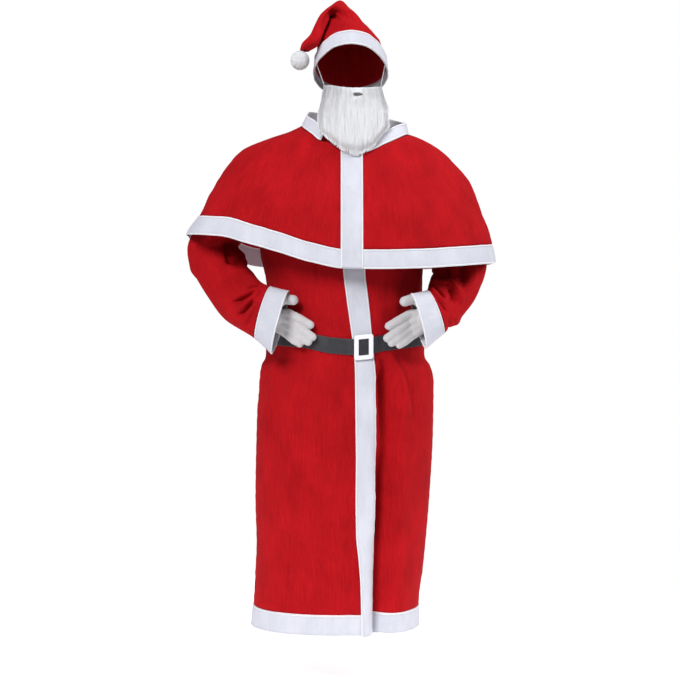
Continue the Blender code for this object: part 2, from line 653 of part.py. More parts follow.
def cape_turns(part, centre_height):
    side = {"front_left": -1, "front_right": 1}.get(part)
    if side is None:
        return back_turns(0.0)
    left, middle, right = cape_placket_turns(centre_height)
    edge = right if side > 0 else left
    seam = side * (math.pi / 2 - SEAM / SIDE_REACH)
    start = middle + side * SEAM / 2 / FRONT_REACH
    return sorted([start, edge] + [edge + (seam - edge) * share for share in FRONT_SHARES])


def make_cape():
    for part in ("front_left", "front_right", "back"):
        rows = []
        for share in CAPE_ROWS:
            turns = cape_turns(part, cape_height(0.0, share))
            rows.append([cape_skin(turn, cape_height(turn, share)) for turn in turns])
        cloth("cape_" + part, rows, red_felt, FELT)
        hem_rows = []
        for share in (0.0, 0.5, 1.0):
            turns = cape_turns(part, cape_hem_height(0.0, share))
            hem_rows.append([cape_skin(turn, cape_hem_height(turn, share)) for turn in turns])
        cloth("cape_hem_" + part, hem_rows, white_felt, TRIM)


def make_cape_placket():
    heights = [cape_height(0.0, share) for share in CAPE_ROWS[:-1]]
    heights += [cape_hem_height(0.0, share) for share in (0.0, 0.5, 1.0)]
    rows = [
        [outward(cape_skin, turn, height, TRIM + SEAM) for turn in cape_placket_turns(height)]
        for height in heights
    ]
    cloth("cape_placket", rows, white_felt, TRIM)


def collar_skin(turn, share):
    """The collar stands on the cape's neckline and leans in towards the neck."""
    foot = outward(cape_skin, turn, around(CAPE_NECK, turn) + COLLAR_SEAT, FELT + SEAM)
    inwards = Vector((HEAD_MIDDLE.x - foot.x, -foot.y, 0)).normalized()
    degrees = (math.degrees(turn) + 180) % 360 - 180
    lean = smooth(degrees, COLLAR_LEAN["turn"], COLLAR_LEAN["lean"])
    return foot + Vector((0, 0, COLLAR_HEIGHT)) * share + inwards * lean * share


def make_collar():
    left_end, right_end = COLLAR_ENDS
    sweep = 2 * math.pi + left_end - right_end
    turns = [right_end + sweep * k / COLLAR_COLUMNS for k in range(COLLAR_COLUMNS + 1)]
    rows = [[collar_skin(turn, share) for turn in turns] for share in (1.0, 0.66, 0.33, 0.0)]
    cloth("cape_collar", rows, white_felt, TRIM)


# ---------------------------------------------------------------- belt and buckle

def belt_out(turn, height):
    """How far the belt stands off the robe's skin: further where it crosses the placket."""
    left, *_, right = robe_placket_turns(height)
    rise = soft_step((turn - left + BELT_LEAD) / BELT_RAMP + 1)
    over = rise * soft_step((right + BELT_LEAD - turn) / BELT_RAMP + 1)
    return FELT + 2 * SEAM + over * (2 * TRIM + PLACKET_GAP - FELT)


def belt_turns():
    fronts = set(front_turns(1, BELT_MIDDLE, 0.0) + front_turns(-1, BELT_MIDDLE, 0.0))
    left, *inside, right = robe_placket_turns(BELT_MIDDLE)
    left, right = left - BELT_LEAD, right + BELT_LEAD
    fronts |= {left - BELT_RAMP, left, *inside, right, right + BELT_RAMP}
    turns = sorted(fronts) + back_turns(0.0)
    merged = []
    for turn in turns:
        if not merged or turn - merged[-1] > math.radians(1):
            merged.append(turn)
    return merged[:-1]


def belt_point(turn, share, out=0.0):
    wrapped = (turn + math.pi) % (2 * math.pi) - math.pi
    height = around(BELT_LINE, turn) + BELT_WIDTH * (share - 0.5)
    return outward(robe_skin, turn, height, belt_out(wrapped, BELT_MIDDLE) + out)


def make_belt():
    rows = [[belt_point(turn, share) for turn in belt_turns()] for share in (1.0, 0.5, 0.0)]
    cloth("belt", rows, black_webbing, BELT_THICKNESS, ring=True)


def rounded_rectangle(spline, width, height, radius, corner_steps=3):
    points = []
    for quarter in range(4):
        x_sign = 1 if quarter in (0, 3) else -1
        y_sign = 1 if quarter in (0, 1) else -1
        centre = (x_sign * (width / 2 - radius), y_sign * (height / 2 - radius))
        for step in range(corner_steps + 1):
            angle = math.pi / 2 * (quarter + step / corner_steps)
            points.append((centre[0] + radius * math.cos(angle), centre[1] + radius * math.sin(angle)))
    spline.points.add(len(points) - 1)
    for target, (x, y) in zip(spline.points, points):
        target.co = (x, y, 0, 1)
    spline.use_cyclic_u = True


def make_buckle():
    outline = bpy.data.curves.new("buckle_outline", "CURVE")
    outline.dimensions = "2D"
    outline.fill_mode = "BOTH"
    outline.extrude = BUCKLE_THICKNESS / 2
    rounded_rectangle(outline.splines.new("POLY"), BUCKLE_WIDTH, BUCKLE_HEIGHT, BUCKLE_CORNER)
    rounded_rectangle(outline.splines.new("POLY"), WINDOW_WIDTH, WINDOW_HEIGHT, WINDOW_CORNER)
    frame = bpy.data.objects.new("buckle_outline", outline)
    suit.objects.link(frame)
    bpy.context.view_layer.update()
    mesh = bpy.data.meshes.new_from_object(frame.evaluated_get(bpy.context.evaluated_depsgraph_get()))
    bpy.data.objects.remove(frame)
    shape = bmesh.new()
    shape.from_mesh(mesh)
    bmesh.ops.remove_doubles(shape, verts=shape.verts, dist=WELD)
    shape.to_mesh(mesh)
    shape.free()
    buckle = add_object("buckle", mesh, white_plastic, suit)
    across = robe_placket_turns(BELT_MIDDLE)
    turn = across[PLACKET_COLUMNS // 2]
    seat = belt_point(turn, 0.5, BELT_THICKNESS)
    normal = seat - belt_point(turn, 0.5)
    flat = Vector((normal.x, normal.y, 0)).normalized()
    behind = [
        belt_point(turn_here, share, BELT_THICKNESS).dot(flat)
        for turn_here in across
        for share in (0.0, 0.5, 1.0)
    ]
    seat += flat * (max(behind) - seat.dot(flat) + SEAM + BUCKLE_THICKNESS / 2)
    sideways = Vector((0, 0, 1)).cross(flat)
    facing = Matrix((sideways, Vector((0, 0, 1)), flat)).transposed()
    buckle.matrix_world = Matrix.Translation(seat) @ facing.to_4x4()


# ---------------------------------------------------------------- hat

def band_point(turn, share, out=0.0):
    """A point of the hat band's inner skin; share 0 is its lower edge."""
    across, ahead = math.sin(turn), math.cos(turn)
    tuck = BAND_TUCK * share
    return Vector((
        HEAD_MIDDLE.x + (BAND_HALF_WIDTH - tuck + out) * across,
        HEAD_MIDDLE.y - (BAND_DEPTH - tuck + out) * ahead,
        around(BAND_EDGE, turn) + BAND_WIDTH * share,
    ))


def crown_ring(ring):
    inner_x, inner_z, outer_x, outer_z, middle_y, half_depth = ring
    inner = Vector((inner_x, middle_y, inner_z))
    outer = Vector((outer_x, middle_y, outer_z))
    points = []
    for k in range(HAT_COLUMNS):
        turn = 2 * math.pi * k / HAT_COLUMNS
        across, ahead = math.sin(turn), math.cos(turn)
        middle = (inner + outer) / 2 + (outer - inner) / 2 * across
        points.append(middle + Vector((0, -half_depth * ahead, 0)))
    return points


def make_hat():
    turns = [2 * math.pi * k / HAT_COLUMNS for k in range(HAT_COLUMNS)]
    rows = [[band_point(turn, share) for turn in turns] for share in (1.0, 0.5, 0.0)]
    cloth("hat_band", rows, white_felt, BAND_WALL, ring=True)
    inside_band = -FELT - 2 * SEAM
    rows = [[band_point(turn, share, inside_band) for turn in turns] for share in (0.6, 1.0)]
    rows += [crown_ring(ring) for ring in CROWN]
    cloth("hat_crown", rows[::-1], red_felt, FELT, ring=True)
    shape = bmesh.new()
    bmesh.ops.create_uvsphere(
        shape, u_segments=POMPOM_SEGMENTS, v_segments=POMPOM_RINGS, radius=POMPOM_RADIUS
    )
    mesh = bpy.data.meshes.new("pompom")
    shape.to_mesh(mesh)
    shape.free()
    pompom = add_object("pompom", mesh, white_plush, suit)
    pompom.location = POMPOM_MIDDLE


# ---------------------------------------------------------------- beard

def beard_point(across, share, pile):
    """A point of the beard: across is -1 to 1, share runs from its top edge to its tip."""
    top = smooth(across, BEARD_TOP["across"], BEARD_TOP["height"])
    bottom = smooth(across, BEARD_BOTTOM["across"], BEARD_BOTTOM["height"])
    height = top + (bottom - top) * share
    row = {name: smooth(height, BEARD["height"], BEARD[name]) for name in BEARD}
    lock = math.sin(math.pi * BEARD_LOCKS * across + LOCK_SWAY * math.sin(LOCK_BENDS * share))
    at_side, at_tip = BEARD_THINNING
    edge = min(1.0, (1 - abs(across)) / at_side, (1 - share) / at_tip)
    thickness = BEARD_BACKING + (BEARD_PILE - BEARD_BACKING + LOCK_HEIGHT * lock) * soft_step(edge)
    return Vector((
        row["middle"] + row["half_width"] * across,
        row["front"] + row["curl"] * across * across - thickness * pile,
        height,
    ))


def make_beard():
    grids = [
        [
            [beard_point(-1 + 2 * c / BEARD_COLUMNS, r / BEARD_ROWS, pile) for c in range(BEARD_COLUMNS + 1)]
            for r in range(BEARD_ROWS + 1)
        ]
        for pile in (0.0, 1.0)
    ]
    mesh = closed_between("beard", *grids)
    beard = add_object("beard", mesh, white_pile, suit)
    shape = bmesh.new()
    bmesh.ops.create_cone(
        shape, cap_ends=True, segments=16, radius1=MOUTH_WIDTH / 2, radius2=MOUTH_WIDTH / 2,
        depth=MOUTH_CUT_DEPTH,
    )
    bmesh.ops.rotate(shape, cent=(0, 0, 0), matrix=Matrix.Rotation(math.pi / 2, 3, "X"), verts=shape.verts)
    bmesh.ops.scale(shape, vec=(1, 1, MOUTH_HEIGHT / MOUTH_WIDTH), verts=shape.verts)
    cutter_mesh = bpy.data.meshes.new("mouth_cutter")
    shape.to_mesh(cutter_mesh)
    shape.free()
    cutter = bpy.data.objects.new("mouth_cutter", cutter_mesh)
    cutters.objects.link(cutter)
    cutter.location = MOUTH_MIDDLE
    cutter.hide_render = True
    cutter.display_type = "WIRE"
    cut = beard.modifiers.new("mouth", "BOOLEAN")
    cut.operation = "DIFFERENCE"
    cut.object = cutter


def closed_between(name, inner, outer):
    """A closed wall between two grids of points of the same size."""
    rows, width = len(inner), len(inner[0])
    count = rows * width
    faces = []
    for r in range(rows - 1):
        for c in range(width - 1):
            face = (r * width + c, (r + 1) * width + c, (r + 1) * width + c + 1, r * width + c + 1)
            faces.append(tuple(count + i for i in face))
            faces.append(face[::-1])
    border = [c for c in range(width)]
    border += [r * width + width - 1 for r in range(1, rows)]
    border += [(rows - 1) * width + c for c in range(width - 2, -1, -1)]
    border += [r * width for r in range(rows - 2, 0, -1)]
    for here, there in zip(border, border[1:] + border[:1]):
        faces.append((here, there, count + there, count + here)[::-1])
    mesh = bpy.data.meshes.new(name)
    points = [tuple(point) for grid in (inner, outer) for row in grid for point in row]
    mesh.from_pydata(points, [], faces)
    mesh.shade_smooth()
    return mesh


def make_elastic():
    """A narrow band from the beard's corners up under the hat band and round behind."""
    inside = -ELASTIC_THICKNESS - 2 * SEAM
    sewn_in, sewn_behind, sewn_down = ELASTIC_SEWN
    halves = []
    for side in (-1, 1):
        start = beard_point(side, 0.0, 0.0) + Vector((-side * sewn_in, sewn_behind, sewn_down))
        entry = band_point(side * math.radians(ELASTIC_TURN), ELASTIC_ENTRY, inside)
        half = [start, start.lerp(entry, 0.5), entry]
        for turn in range(90, 181 if side < 0 else 180, ELASTIC_STEP):
            half.append(band_point(side * math.radians(turn), ELASTIC_LEVEL, inside))
        halves.append(half)
    route = halves[0] + halves[1][::-1]
    rows = [[point + Vector((0, 0, ELASTIC_WIDTH * share)) for point in route] for share in (0.5, -0.5)]
    cloth("beard_elastic", rows, white_elastic, ELASTIC_THICKNESS, flip=True)


# ---------------------------------------------------------------- gloves

def bone_hull(shape, start, start_radius, end, end_radius):
    """The rounded solid between two balls, added to a bmesh."""
    for centre, radius in ((start, start_radius), (end, end_radius)):
        bmesh.ops.create_icosphere(
            shape, subdivisions=2, radius=radius, matrix=Matrix.Translation(centre)
        )
    points = [v.co.copy() for v in shape.verts]
    shape.clear()
    for point in points:
        shape.verts.new(point)
    hull = bmesh.ops.convex_hull(shape, input=shape.verts[:])
    inside = [v for v in hull["geom_interior"] if isinstance(v, bmesh.types.BMVert)]
    bmesh.ops.delete(shape, geom=inside, context="VERTS")


def make_glove(side):
    shape = bmesh.new()
    for x0, y0, z0, r0, x1, y1, z1, r1 in GLOVES[side]:
        single = bmesh.new()
        bone_hull(single, Vector((x0, y0, z0)), r0, Vector((x1, y1, z1)), r1)
        bone = bpy.data.meshes.new("bone")
        single.to_mesh(bone)
        single.free()
        shape.from_mesh(bone)
        bpy.data.meshes.remove(bone)
    mesh = bpy.data.meshes.new("hand_form")
    shape.to_mesh(mesh)
    shape.free()
    form = add_object("hand_form", mesh, white_cotton, suit)
    remesh = form.modifiers.new("skin", "REMESH")
    remesh.mode = "VOXEL"
    remesh.voxel_size = GLOVE_VOXEL
    relax = form.modifiers.new("relax", "SMOOTH")
    relax.iterations = GLOVE_RELAXING
    relax.factor = 0.5
    thin_out = form.modifiers.new("thin_out", "DECIMATE")
    thin_out.ratio = GLOVE_KEPT
    bpy.context.view_layer.update()
    mesh = bpy.data.meshes.new_from_object(form.evaluated_get(bpy.context.evaluated_depsgraph_get()))
    bpy.data.objects.remove(form)
    skin = bmesh.new()
    skin.from_mesh(mesh)
    sign = 1 if side == "right" else -1
    bmesh.ops.bisect_plane(
        skin, geom=skin.verts[:] + skin.edges[:] + skin.faces[:], dist=WELD,
        plane_co=(WRIST_CUT[side], 0, 0), plane_no=(sign, 0, 0), clear_outer=True,
    )
    bmesh.ops.triangulate(skin, faces=skin.faces)
    skin.to_mesh(mesh)
    skin.free()
    mesh.name = "glove_" + side
    glove = add_object("glove_" + side, mesh, white_cotton, suit)
    wall = glove.modifiers.new("wall", "SOLIDIFY")
    wall.thickness = GLOVE_WALL
    wall.offset = -1.0


# ---------------------------------------------------------------- the whole suit

for old in list(bpy.data.objects):
    bpy.data.objects.remove(old)
suit = new_collection(SUIT)
cutters = new_collection("cutters")

red_felt = material("red_felt", (0.46, 0.008, 0.014), 0.9)
white_felt = material("white_felt", (0.78, 0.79, 0.86), 0.9)
white_plush = material("white_plush", (0.85, 0.85, 0.87), 1.0)
white_pile = material("white_pile", (0.76, 0.76, 0.79), 0.85)
white_cotton = material("white_cotton", (0.80, 0.79, 0.80), 0.85)
white_elastic = material("white_elastic", (0.82, 0.82, 0.82), 0.7)
black_webbing = material("black_webbing", (0.045, 0.045, 0.052), 0.5)
white_plastic = material("white_plastic", (0.82, 0.83, 0.88), 0.35)

make_robe()
make_robe_placket()
for arm in SLEEVES:
    make_sleeve(arm)
make_cape()
make_cape_placket()
make_collar()
make_belt()
make_buckle()
make_hat()
make_beard()
make_elastic()
for hand in GLOVES:
    make_glove(hand)
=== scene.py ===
"""The looks of a worn santa suit: robe, caped collar, belt, hat, beard and gloves.

Metres, +Z up; the front faces -Y and the origin is the middle of the wearer's neck. A "skin" is a
function from a turn about the body (0 in front, positive towards +X) and a height to a point on
the inner face of the cloth. Turns are in radians, and in degrees in the tables.
"""

import math

import bmesh
import bpy
import numpy as np
from mathutils import Matrix, Vector


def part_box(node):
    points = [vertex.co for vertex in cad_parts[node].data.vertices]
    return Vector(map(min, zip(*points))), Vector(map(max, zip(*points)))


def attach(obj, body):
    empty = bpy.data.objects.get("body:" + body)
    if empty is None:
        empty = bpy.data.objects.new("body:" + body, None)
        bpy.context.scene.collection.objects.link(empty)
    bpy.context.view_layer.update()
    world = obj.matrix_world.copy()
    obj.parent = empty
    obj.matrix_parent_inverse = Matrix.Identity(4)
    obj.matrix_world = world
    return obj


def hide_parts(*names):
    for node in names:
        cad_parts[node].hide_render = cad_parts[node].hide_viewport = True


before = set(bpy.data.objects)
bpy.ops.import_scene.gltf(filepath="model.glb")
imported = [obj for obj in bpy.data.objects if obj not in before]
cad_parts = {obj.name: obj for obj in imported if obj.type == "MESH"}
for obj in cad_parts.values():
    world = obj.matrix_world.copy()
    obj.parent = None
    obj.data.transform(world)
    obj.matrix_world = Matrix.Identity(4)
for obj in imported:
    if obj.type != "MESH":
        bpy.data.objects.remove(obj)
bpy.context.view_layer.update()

# ---------------------------------------------------------------- studio
# The suit hangs as if worn, a little above a pale floor, before a camera level with its middle.
# A wide soft light stands to the front left and a fainter one to the right.

PICTURE_SIDE = 680
FOCAL_PIXELS = 1358.5
CAMERA_PLACE = (-0.013, -3.6, -0.538)
FLOOR_HEIGHT = -1.43
FLOOR_RADIUS = 1.6
AMBIENT, FLOOR_GLOW = 0.29, 0.80

camera_lens = bpy.data.cameras.new("camera")
camera_lens.lens = camera_lens.sensor_width * FOCAL_PIXELS / PICTURE_SIDE
camera = bpy.data.objects.new("camera", camera_lens)
camera.location = CAMERA_PLACE
camera.rotation_euler = (math.pi / 2, 0, 0)
bpy.context.scene.collection.objects.link(camera)
bpy.context.scene.camera = camera
bpy.context.scene.view_settings.view_transform = "Standard"


def add_light(name, place, aim, side, watts):
    """A square soft light turned towards a point."""
    lamp = bpy.data.lights.new(name, "AREA")
    lamp.size, lamp.energy = side, watts
    light = bpy.data.objects.new(name, lamp)
    light.location = place
    light.rotation_euler = (Vector(aim) - Vector(place)).to_track_quat("-Z", "Y").to_euler()
    bpy.context.scene.collection.objects.link(light)


add_light("key", (-1.8, -3.1, 2.0), (0, 0, -0.3), 1.6, 158)
add_light("side", (2.8, -0.7, 1.5), (0.3, 0, -0.1), 1.4, 88)

world = bpy.data.worlds.new("studio")
world.use_nodes = True
wires, nodes = world.node_tree.links, world.node_tree.nodes
ambient, backdrop = nodes["Background"], nodes.new("ShaderNodeBackground")
ambient.inputs["Color"].default_value = (0.97, 0.98, 1.0, 1)
ambient.inputs["Strength"].default_value = AMBIENT
backdrop.inputs["Color"].default_value = (1, 1, 1, 1)
share = nodes.new("ShaderNodeMixShader")
wires.new(nodes.new("ShaderNodeLightPath").outputs["Is Camera Ray"], share.inputs[0])
wires.new(ambient.outputs[0], share.inputs[1])
wires.new(backdrop.outputs[0], share.inputs[2])
wires.new(share.outputs[0], nodes["World Output"].inputs["Surface"])
bpy.context.scene.world = world

floor_mesh = bpy.data.meshes.new("floor")
floor_form = bmesh.new()
bmesh.ops.create_circle(floor_form, cap_ends=True, segments=96, radius=FLOOR_RADIUS)
floor_form.to_mesh(floor_mesh)
floor_form.free()
floor = bpy.data.objects.new("floor", floor_mesh)
floor.location.z = FLOOR_HEIGHT
bpy.context.scene.collection.objects.link(floor)
floor_paint = bpy.data.materials.new("floor_paint")
floor_paint.use_nodes = True
for socket, value in {
    "Base Color": (0.92, 0.92, 0.92, 1), "Emission Color": (1, 1, 1, 1), "Emission Strength": FLOOR_GLOW,
    "Roughness": 0.9,
}.items():
    floor_paint.node_tree.nodes["Principled BSDF"].inputs[socket].default_value = value
floor_mesh.materials.append(floor_paint)

# ---------------------------------------------------------------- robe panels
# Two fronts and a back of thin red polyester felt, sewn at the shoulders and down the sides. The
# felt is napped, with a faint upright streak, and falls in long soft folds below the belt.

FELT = 0.0015
TRIM = 0.0020
SEAM = 0.0003
SIDE_SEAM = 0.00006
PLACKET_WIDTH = 0.056
PLACKET_GAP = 2 * SEAM
FRONT_REACH, SIDE_REACH = 0.175, 0.200
ROBE_HEM_TOP, ROBE_HEM_BOTTOM = -1.232, -1.286
ROBE_NECK_DROP = 0.009
SHOULDER_TIP, ARMPIT = -0.035, -0.235
ARMHOLE_HALF_TURN = math.radians(27)
# About how far apart the points of a panel lie, the rows above the shoulder and round the armhole,
# and the widths of cloth that a front and the back are divided over
CLOTH_STEP = 0.0069
SHOULDER_ROWS, ARMHOLE_ROWS = 12, 44
FRONT_WIDTH, BACK_WIDTH = 0.40, 0.66
# The columns of a front lie closer together towards the placket, and go on under it to its middle
FRONT_CLOSENESS = 0.35
UNDER_PLACKET = (-1.0, -0.75, -0.5, -0.25)
# A fold fades in and out over these shares of its length, and widens on its way down; a crease
# starts and ends a little beyond its line
FOLD_FADES, FOLD_START_WIDTH, FOLD_WIDENING = (0.18, 0.35), 0.6, 0.6
CREASE_BEYOND, CREASE_FADES = 0.08, (0.3, 0.45)
# How far a seam draws the cloth in, and how near the seam it does so; and its puckers
SEAM_DIP, SEAM_REACH = 0.0013, 0.004
PUCKER, PUCKER_REACH = 0.0005, 0.016
BAND_DIP, BAND_REACH = 0.0010, 0.0045
SLOPE_STEP = 0.002


def table(columns, *rows):
    """Named columns of numbers, sorted by the first column."""
    ordered = sorted(rows)
    return {name: np.array([row[i] for row in ordered]) for i, name in enumerate(columns.split())}


ROBE = table(
    "height middle left right front back square",
    (0.040, 0.0155, 0.1106, 0.1124, 0.0950, 0.0972, 2.0),
    (0.030, 0.0150, 0.1178, 0.1196, 0.0990, 0.1008, 2.0),
    (0.012, 0.0115, 0.138, 0.1340, 0.106, 0.1066, 2.1),
    (-0.010, 0.004, 0.182, 0.175, 0.114, 0.120, 2.2),
    (-0.035, 0.000, 0.207, 0.205, 0.124, 0.128, 2.3),
    (-0.080, 0.000, 0.211, 0.211, 0.140, 0.140, 2.4),
    (-0.150, 0.000, 0.214, 0.213, 0.158, 0.150, 2.4),
    (-0.235, 0.000, 0.221, 0.211, 0.174, 0.155, 2.4),
    (-0.294, 0.000, 0.223, 0.208, 0.180, 0.154, 2.4),
    (-0.395, 0.000, 0.205, 0.203, 0.181, 0.150, 2.3),
    (-0.470, 0.000, 0.203, 0.204, 0.178, 0.148, 2.3),
    (-0.505, 0.000, 0.206, 0.207, 0.175, 0.148, 2.3),
    (-0.583, 0.000, 0.208, 0.209, 0.175, 0.149, 2.3),
    (-0.604, 0.000, 0.219, 0.223, 0.181, 0.159, 2.3),
    (-0.647, 0.000, 0.226, 0.233, 0.186, 0.168, 2.3),
    (-0.780, 0.000, 0.232, 0.231, 0.190, 0.178, 2.3),
    (-0.956, 0.000, 0.235, 0.221, 0.184, 0.180, 2.3),
    (-1.073, 0.000, 0.232, 0.211, 0.178, 0.178, 2.3),
    (-1.142, 0.000, 0.235, 0.204, 0.176, 0.178, 2.3),
    (-1.227, 0.000, 0.240, 0.194, 0.177, 0.181, 2.3),
    (-1.300, 0.000, 0.248, 0.194, 0.180, 0.185, 2.3),
)
CAPE_NECK = table(
    "turn height",
    (-180, 0.042), (-120, 0.040), (-90, 0.034), (-60, 0.012), (-38, -0.010), (-25, -0.031),
    (-18, -0.0335), (-12, -0.043), (-4, -0.058), (6, -0.0635), (18, -0.0625), (38, -0.039),
    (60, -0.011), (90, 0.006), (130, 0.030), (180, 0.042),
)
PLACKET_LINE = table(
    "height left right",
    (-0.075, -4.9, 17.4), (-0.360, -1.7, 15.8), (-0.425, 0.7, 17.9), (-0.527, 5.4, 21.8),
    (-0.580, 7.5, 23.3), (-0.670, 7.6, 23.0), (-0.770, 7.8, 23.9), (-0.840, 8.1, 24.2),
    (-0.935, 8.2, 23.7), (-1.030, 8.8, 23.8), (-1.097, 10.9, 25.1), (-1.163, 12.4, 25.9),
    (-1.240, 12.8, 26.1), (-1.290, 13.0, 26.1),
)
NECK_DIP = table("down share", (0, 1.0), (0.5, 0.79), (1, 0.62))
DIP_AT_TIP, DIP_AT_ARMPIT = 0.62, 0.03

# Long folds that hang from the shoulders or the belt; a negative depth is a valley
ROBE_FOLDS = (
    # turn at top, turn at bottom, top, bottom, depth, width in turn
    (30.5, 29.5, -0.572, -0.980, -0.030, 8.5),
    (30, 24, -0.760, -2.400, -0.042, 8.5),
    (40, 47, -0.595, -1.420, 0.005, 8.0),
    (31, 41, -0.582, -0.720, -0.006, 3.2),
    (47, 54, -0.584, -0.800, -0.005, 4.5),
    (4, 1, -0.800, -1.600, -0.004, 5.5),
    (-18, -15, -0.584, -0.850, -0.003, 4.0),
    (-50, -56, -0.584, -0.900, -0.005, 5.5),
    (-80, -85, -0.582, -0.710, -0.006, 5.0),
    (-38, -34, -0.330, -0.505, -0.004, 6.0),
    (52, 46, -0.340, -0.505, -0.004, 6.0),
    (118, 122, -0.584, -1.250, -0.007, 7.0),
    (148, 145, -0.584, -1.600, -0.008, 7.5),
    (174, 176, -0.590, -1.700, 0.006, 8.0),
    (-152, -147, -0.584, -1.450, -0.008, 7.5),
    (-118, -123, -0.584, -1.350, -0.007, 7.0),
    (160, 166, -0.300, -0.500, -0.005, 8.0),
    (-160, -166, -0.320, -0.500, -0.005, 8.0),
)
# Shorter creases: a line from one place to another, how far it stands out, its half-width, and
# how much softer its far side is
ROBE_CREASES = (
    # turn, height, turn, height, depth, width, lean
    (-8, -0.584, -10, -0.680, -0.0022, 0.007, 0.0),
    (-27, -0.584, -30, -0.700, -0.0026, 0.008, 0.3),
    (-36, -0.584, -41, -0.650, 0.0020, 0.006, 0.0),
    (-44, -0.584, -50, -0.760, -0.0030, 0.009, 0.5),
    (-62, -0.584, -70, -0.700, -0.0030, 0.008, 0.0),
    (-71, -0.584, -76, -0.660, 0.0026, 0.007, 0.0),
    (33, -0.590, 37, -0.840, -0.0280, 0.014, 0.0),
    (36, -0.780, 29, -1.060, -0.0200, 0.012, 0.0),
    (26, -0.584, 29, -0.630, 0.0040, 0.005, 0.0),
    (38, -0.578, 48, -0.740, 0.0110, 0.009, 0.8),
    (43, -0.584, 50, -0.665, -0.0030, 0.006, 0.0),
    (55, -0.584, 64, -0.720, -0.0036, 0.009, 0.4),
    (66, -0.584, 72, -0.640, 0.0026, 0.007, 0.0),
    (79, -0.584, 82, -0.700, -0.0028, 0.008, 0.0),
    (96, -0.584, 94, -0.690, -0.0034, 0.009, 0.3),
    (108, -0.584, 112, -0.650, 0.0026, 0.007, 0.0),
    (131, -0.584, 128, -0.740, -0.0036, 0.010, 0.4),
    (140, -0.584, 141, -0.650, 0.0026, 0.007, 0.0),
    (160, -0.584, 163, -0.720, -0.0034, 0.009, 0.2),
    (-170, -0.584, -168, -0.660, 0.0028, 0.008, 0.0),
    (-161, -0.584, -158, -0.750, -0.0034, 0.009, 0.4),
    (-140, -0.584, -142, -0.640, 0.0026, 0.007, 0.0),
    (-132, -0.584, -129, -0.730, -0.0036, 0.010, 0.0),
    (-106, -0.584, -103, -0.680, -0.0030, 0.008, 0.2),
    (-95, -0.584, -98, -0.640, 0.0024, 0.007, 0.0),
    (-14, -0.400, -18, -0.506, -0.0016, 0.009, 0.0),
    (-30, -0.420, -27, -0.506, 0.0016, 0.008, 0.0),
    (-48, -0.390, -40, -0.506, -0.0026, 0.010, 0.4),
    (-66, -0.400, -60, -0.506, -0.0024, 0.009, 0.0),
    (-78, -0.360, -68, -0.450, 0.0026, 0.010, 0.4),
    (20, -0.420, 24, -0.506, -0.0016, 0.008, 0.0),
    (33, -0.370, 36, -0.506, -0.0026, 0.010, 0.5),
    (42, -0.430, 43, -0.506, 0.0018, 0.007, 0.0),
    (62, -0.330, 55, -0.480, -0.0034, 0.011, 0.4),
    (74, -0.320, 64, -0.440, 0.0030, 0.010, 0.5),
    (100, -0.380, 106, -0.506, -0.0026, 0.010, 0.0),
    (124, -0.350, 130, -0.506, -0.0030, 0.011, 0.4),
    (150, -0.400, 148, -0.506, 0.0022, 0.009, 0.0),
    (178, -0.390, 178, -0.506, -0.0024, 0.010, 0.0),
    (-148, -0.400, -146, -0.506, 0.0022, 0.009, 0.0),
    (-126, -0.350, -131, -0.506, -0.0030, 0.011, 0.4),
    (-101, -0.380, -106, -0.506, -0.0026, 0.010, 0.0),
    (-20, -0.760, -52, -0.880, 0.0014, 0.016, 0.8),
    (-64, -0.820, -38, -0.960, -0.0012, 0.018, 0.6),
    (-12, -1.010, -40, -1.100, -0.0013, 0.018, 0.7),
    (-72, -1.060, -48, -1.170, 0.0014, 0.016, 0.6),
    (44, -0.760, 62, -0.870, 0.0014, 0.015, 0.6),
    (68, -0.930, 50, -1.060, -0.0014, 0.016, 0.6),
    (40, -1.090, 60, -1.180, 0.0012, 0.015, 0.6),
    (110, -0.820, 134, -0.930, 0.0014, 0.016, 0.6),
    (150, -0.960, 124, -1.080, -0.0014, 0.017, 0.6),
    (-110, -0.860, -134, -0.960, 0.0014, 0.016, 0.6),
    (-150, -0.980, -128, -1.120, -0.0014, 0.017, 0.6),
    (170, -0.780, -172, -0.900, 0.0013, 0.016, 0.6),
)


def smooth(at, knots, values):
    """A cubic through the knots that never overshoots them; each value may be an array."""
    at, values = np.asarray(at, float), np.asarray(values, float)
    rest = (1,) * (values.ndim - 1)
    steps = np.diff(knots).astype(float)
    slopes = np.diff(values, axis=0) / steps.reshape(-1, *rest)
    product = slopes[:-1] * slopes[1:]
    total = np.where(product > 0, slopes[:-1] + slopes[1:], 1.0)
    tangents = np.concatenate([slopes[:1], np.where(product > 0, 2 * product / total, 0.0), slopes[-1:]])
    i = np.clip(np.searchsorted(knots, at) - 1, 0, len(steps) - 1)
    t = np.reshape(np.clip((at - np.asarray(knots)[i]) / steps[i], 0.0, 1.0), at.shape + rest)
    step = np.reshape(steps[i], at.shape + rest)
    return (
        values[i] * (1 + 2 * t) * (1 - t) ** 2
        + values[i + 1] * t * t * (3 - 2 * t)
        + step * tangents[i] * t * (1 - t) ** 2
        - step * tangents[i + 1] * t * t * (1 - t)
    )


def half_circle(degrees):
    """The same turn, from -180 up to 180 degrees."""
    return (degrees + 180) % 360 - 180


def around(curve, turn, column="height"):
    """What a table of turns gives at any turn round the body."""
    return smooth(half_circle(np.degrees(turn)), curve["turn"], curve[column])


def soft_step(t):
    """0 up to 1 with no corner at either end."""
    t = np.clip(t, 0.0, 1.0)
    return t * t * (3 - 2 * t)


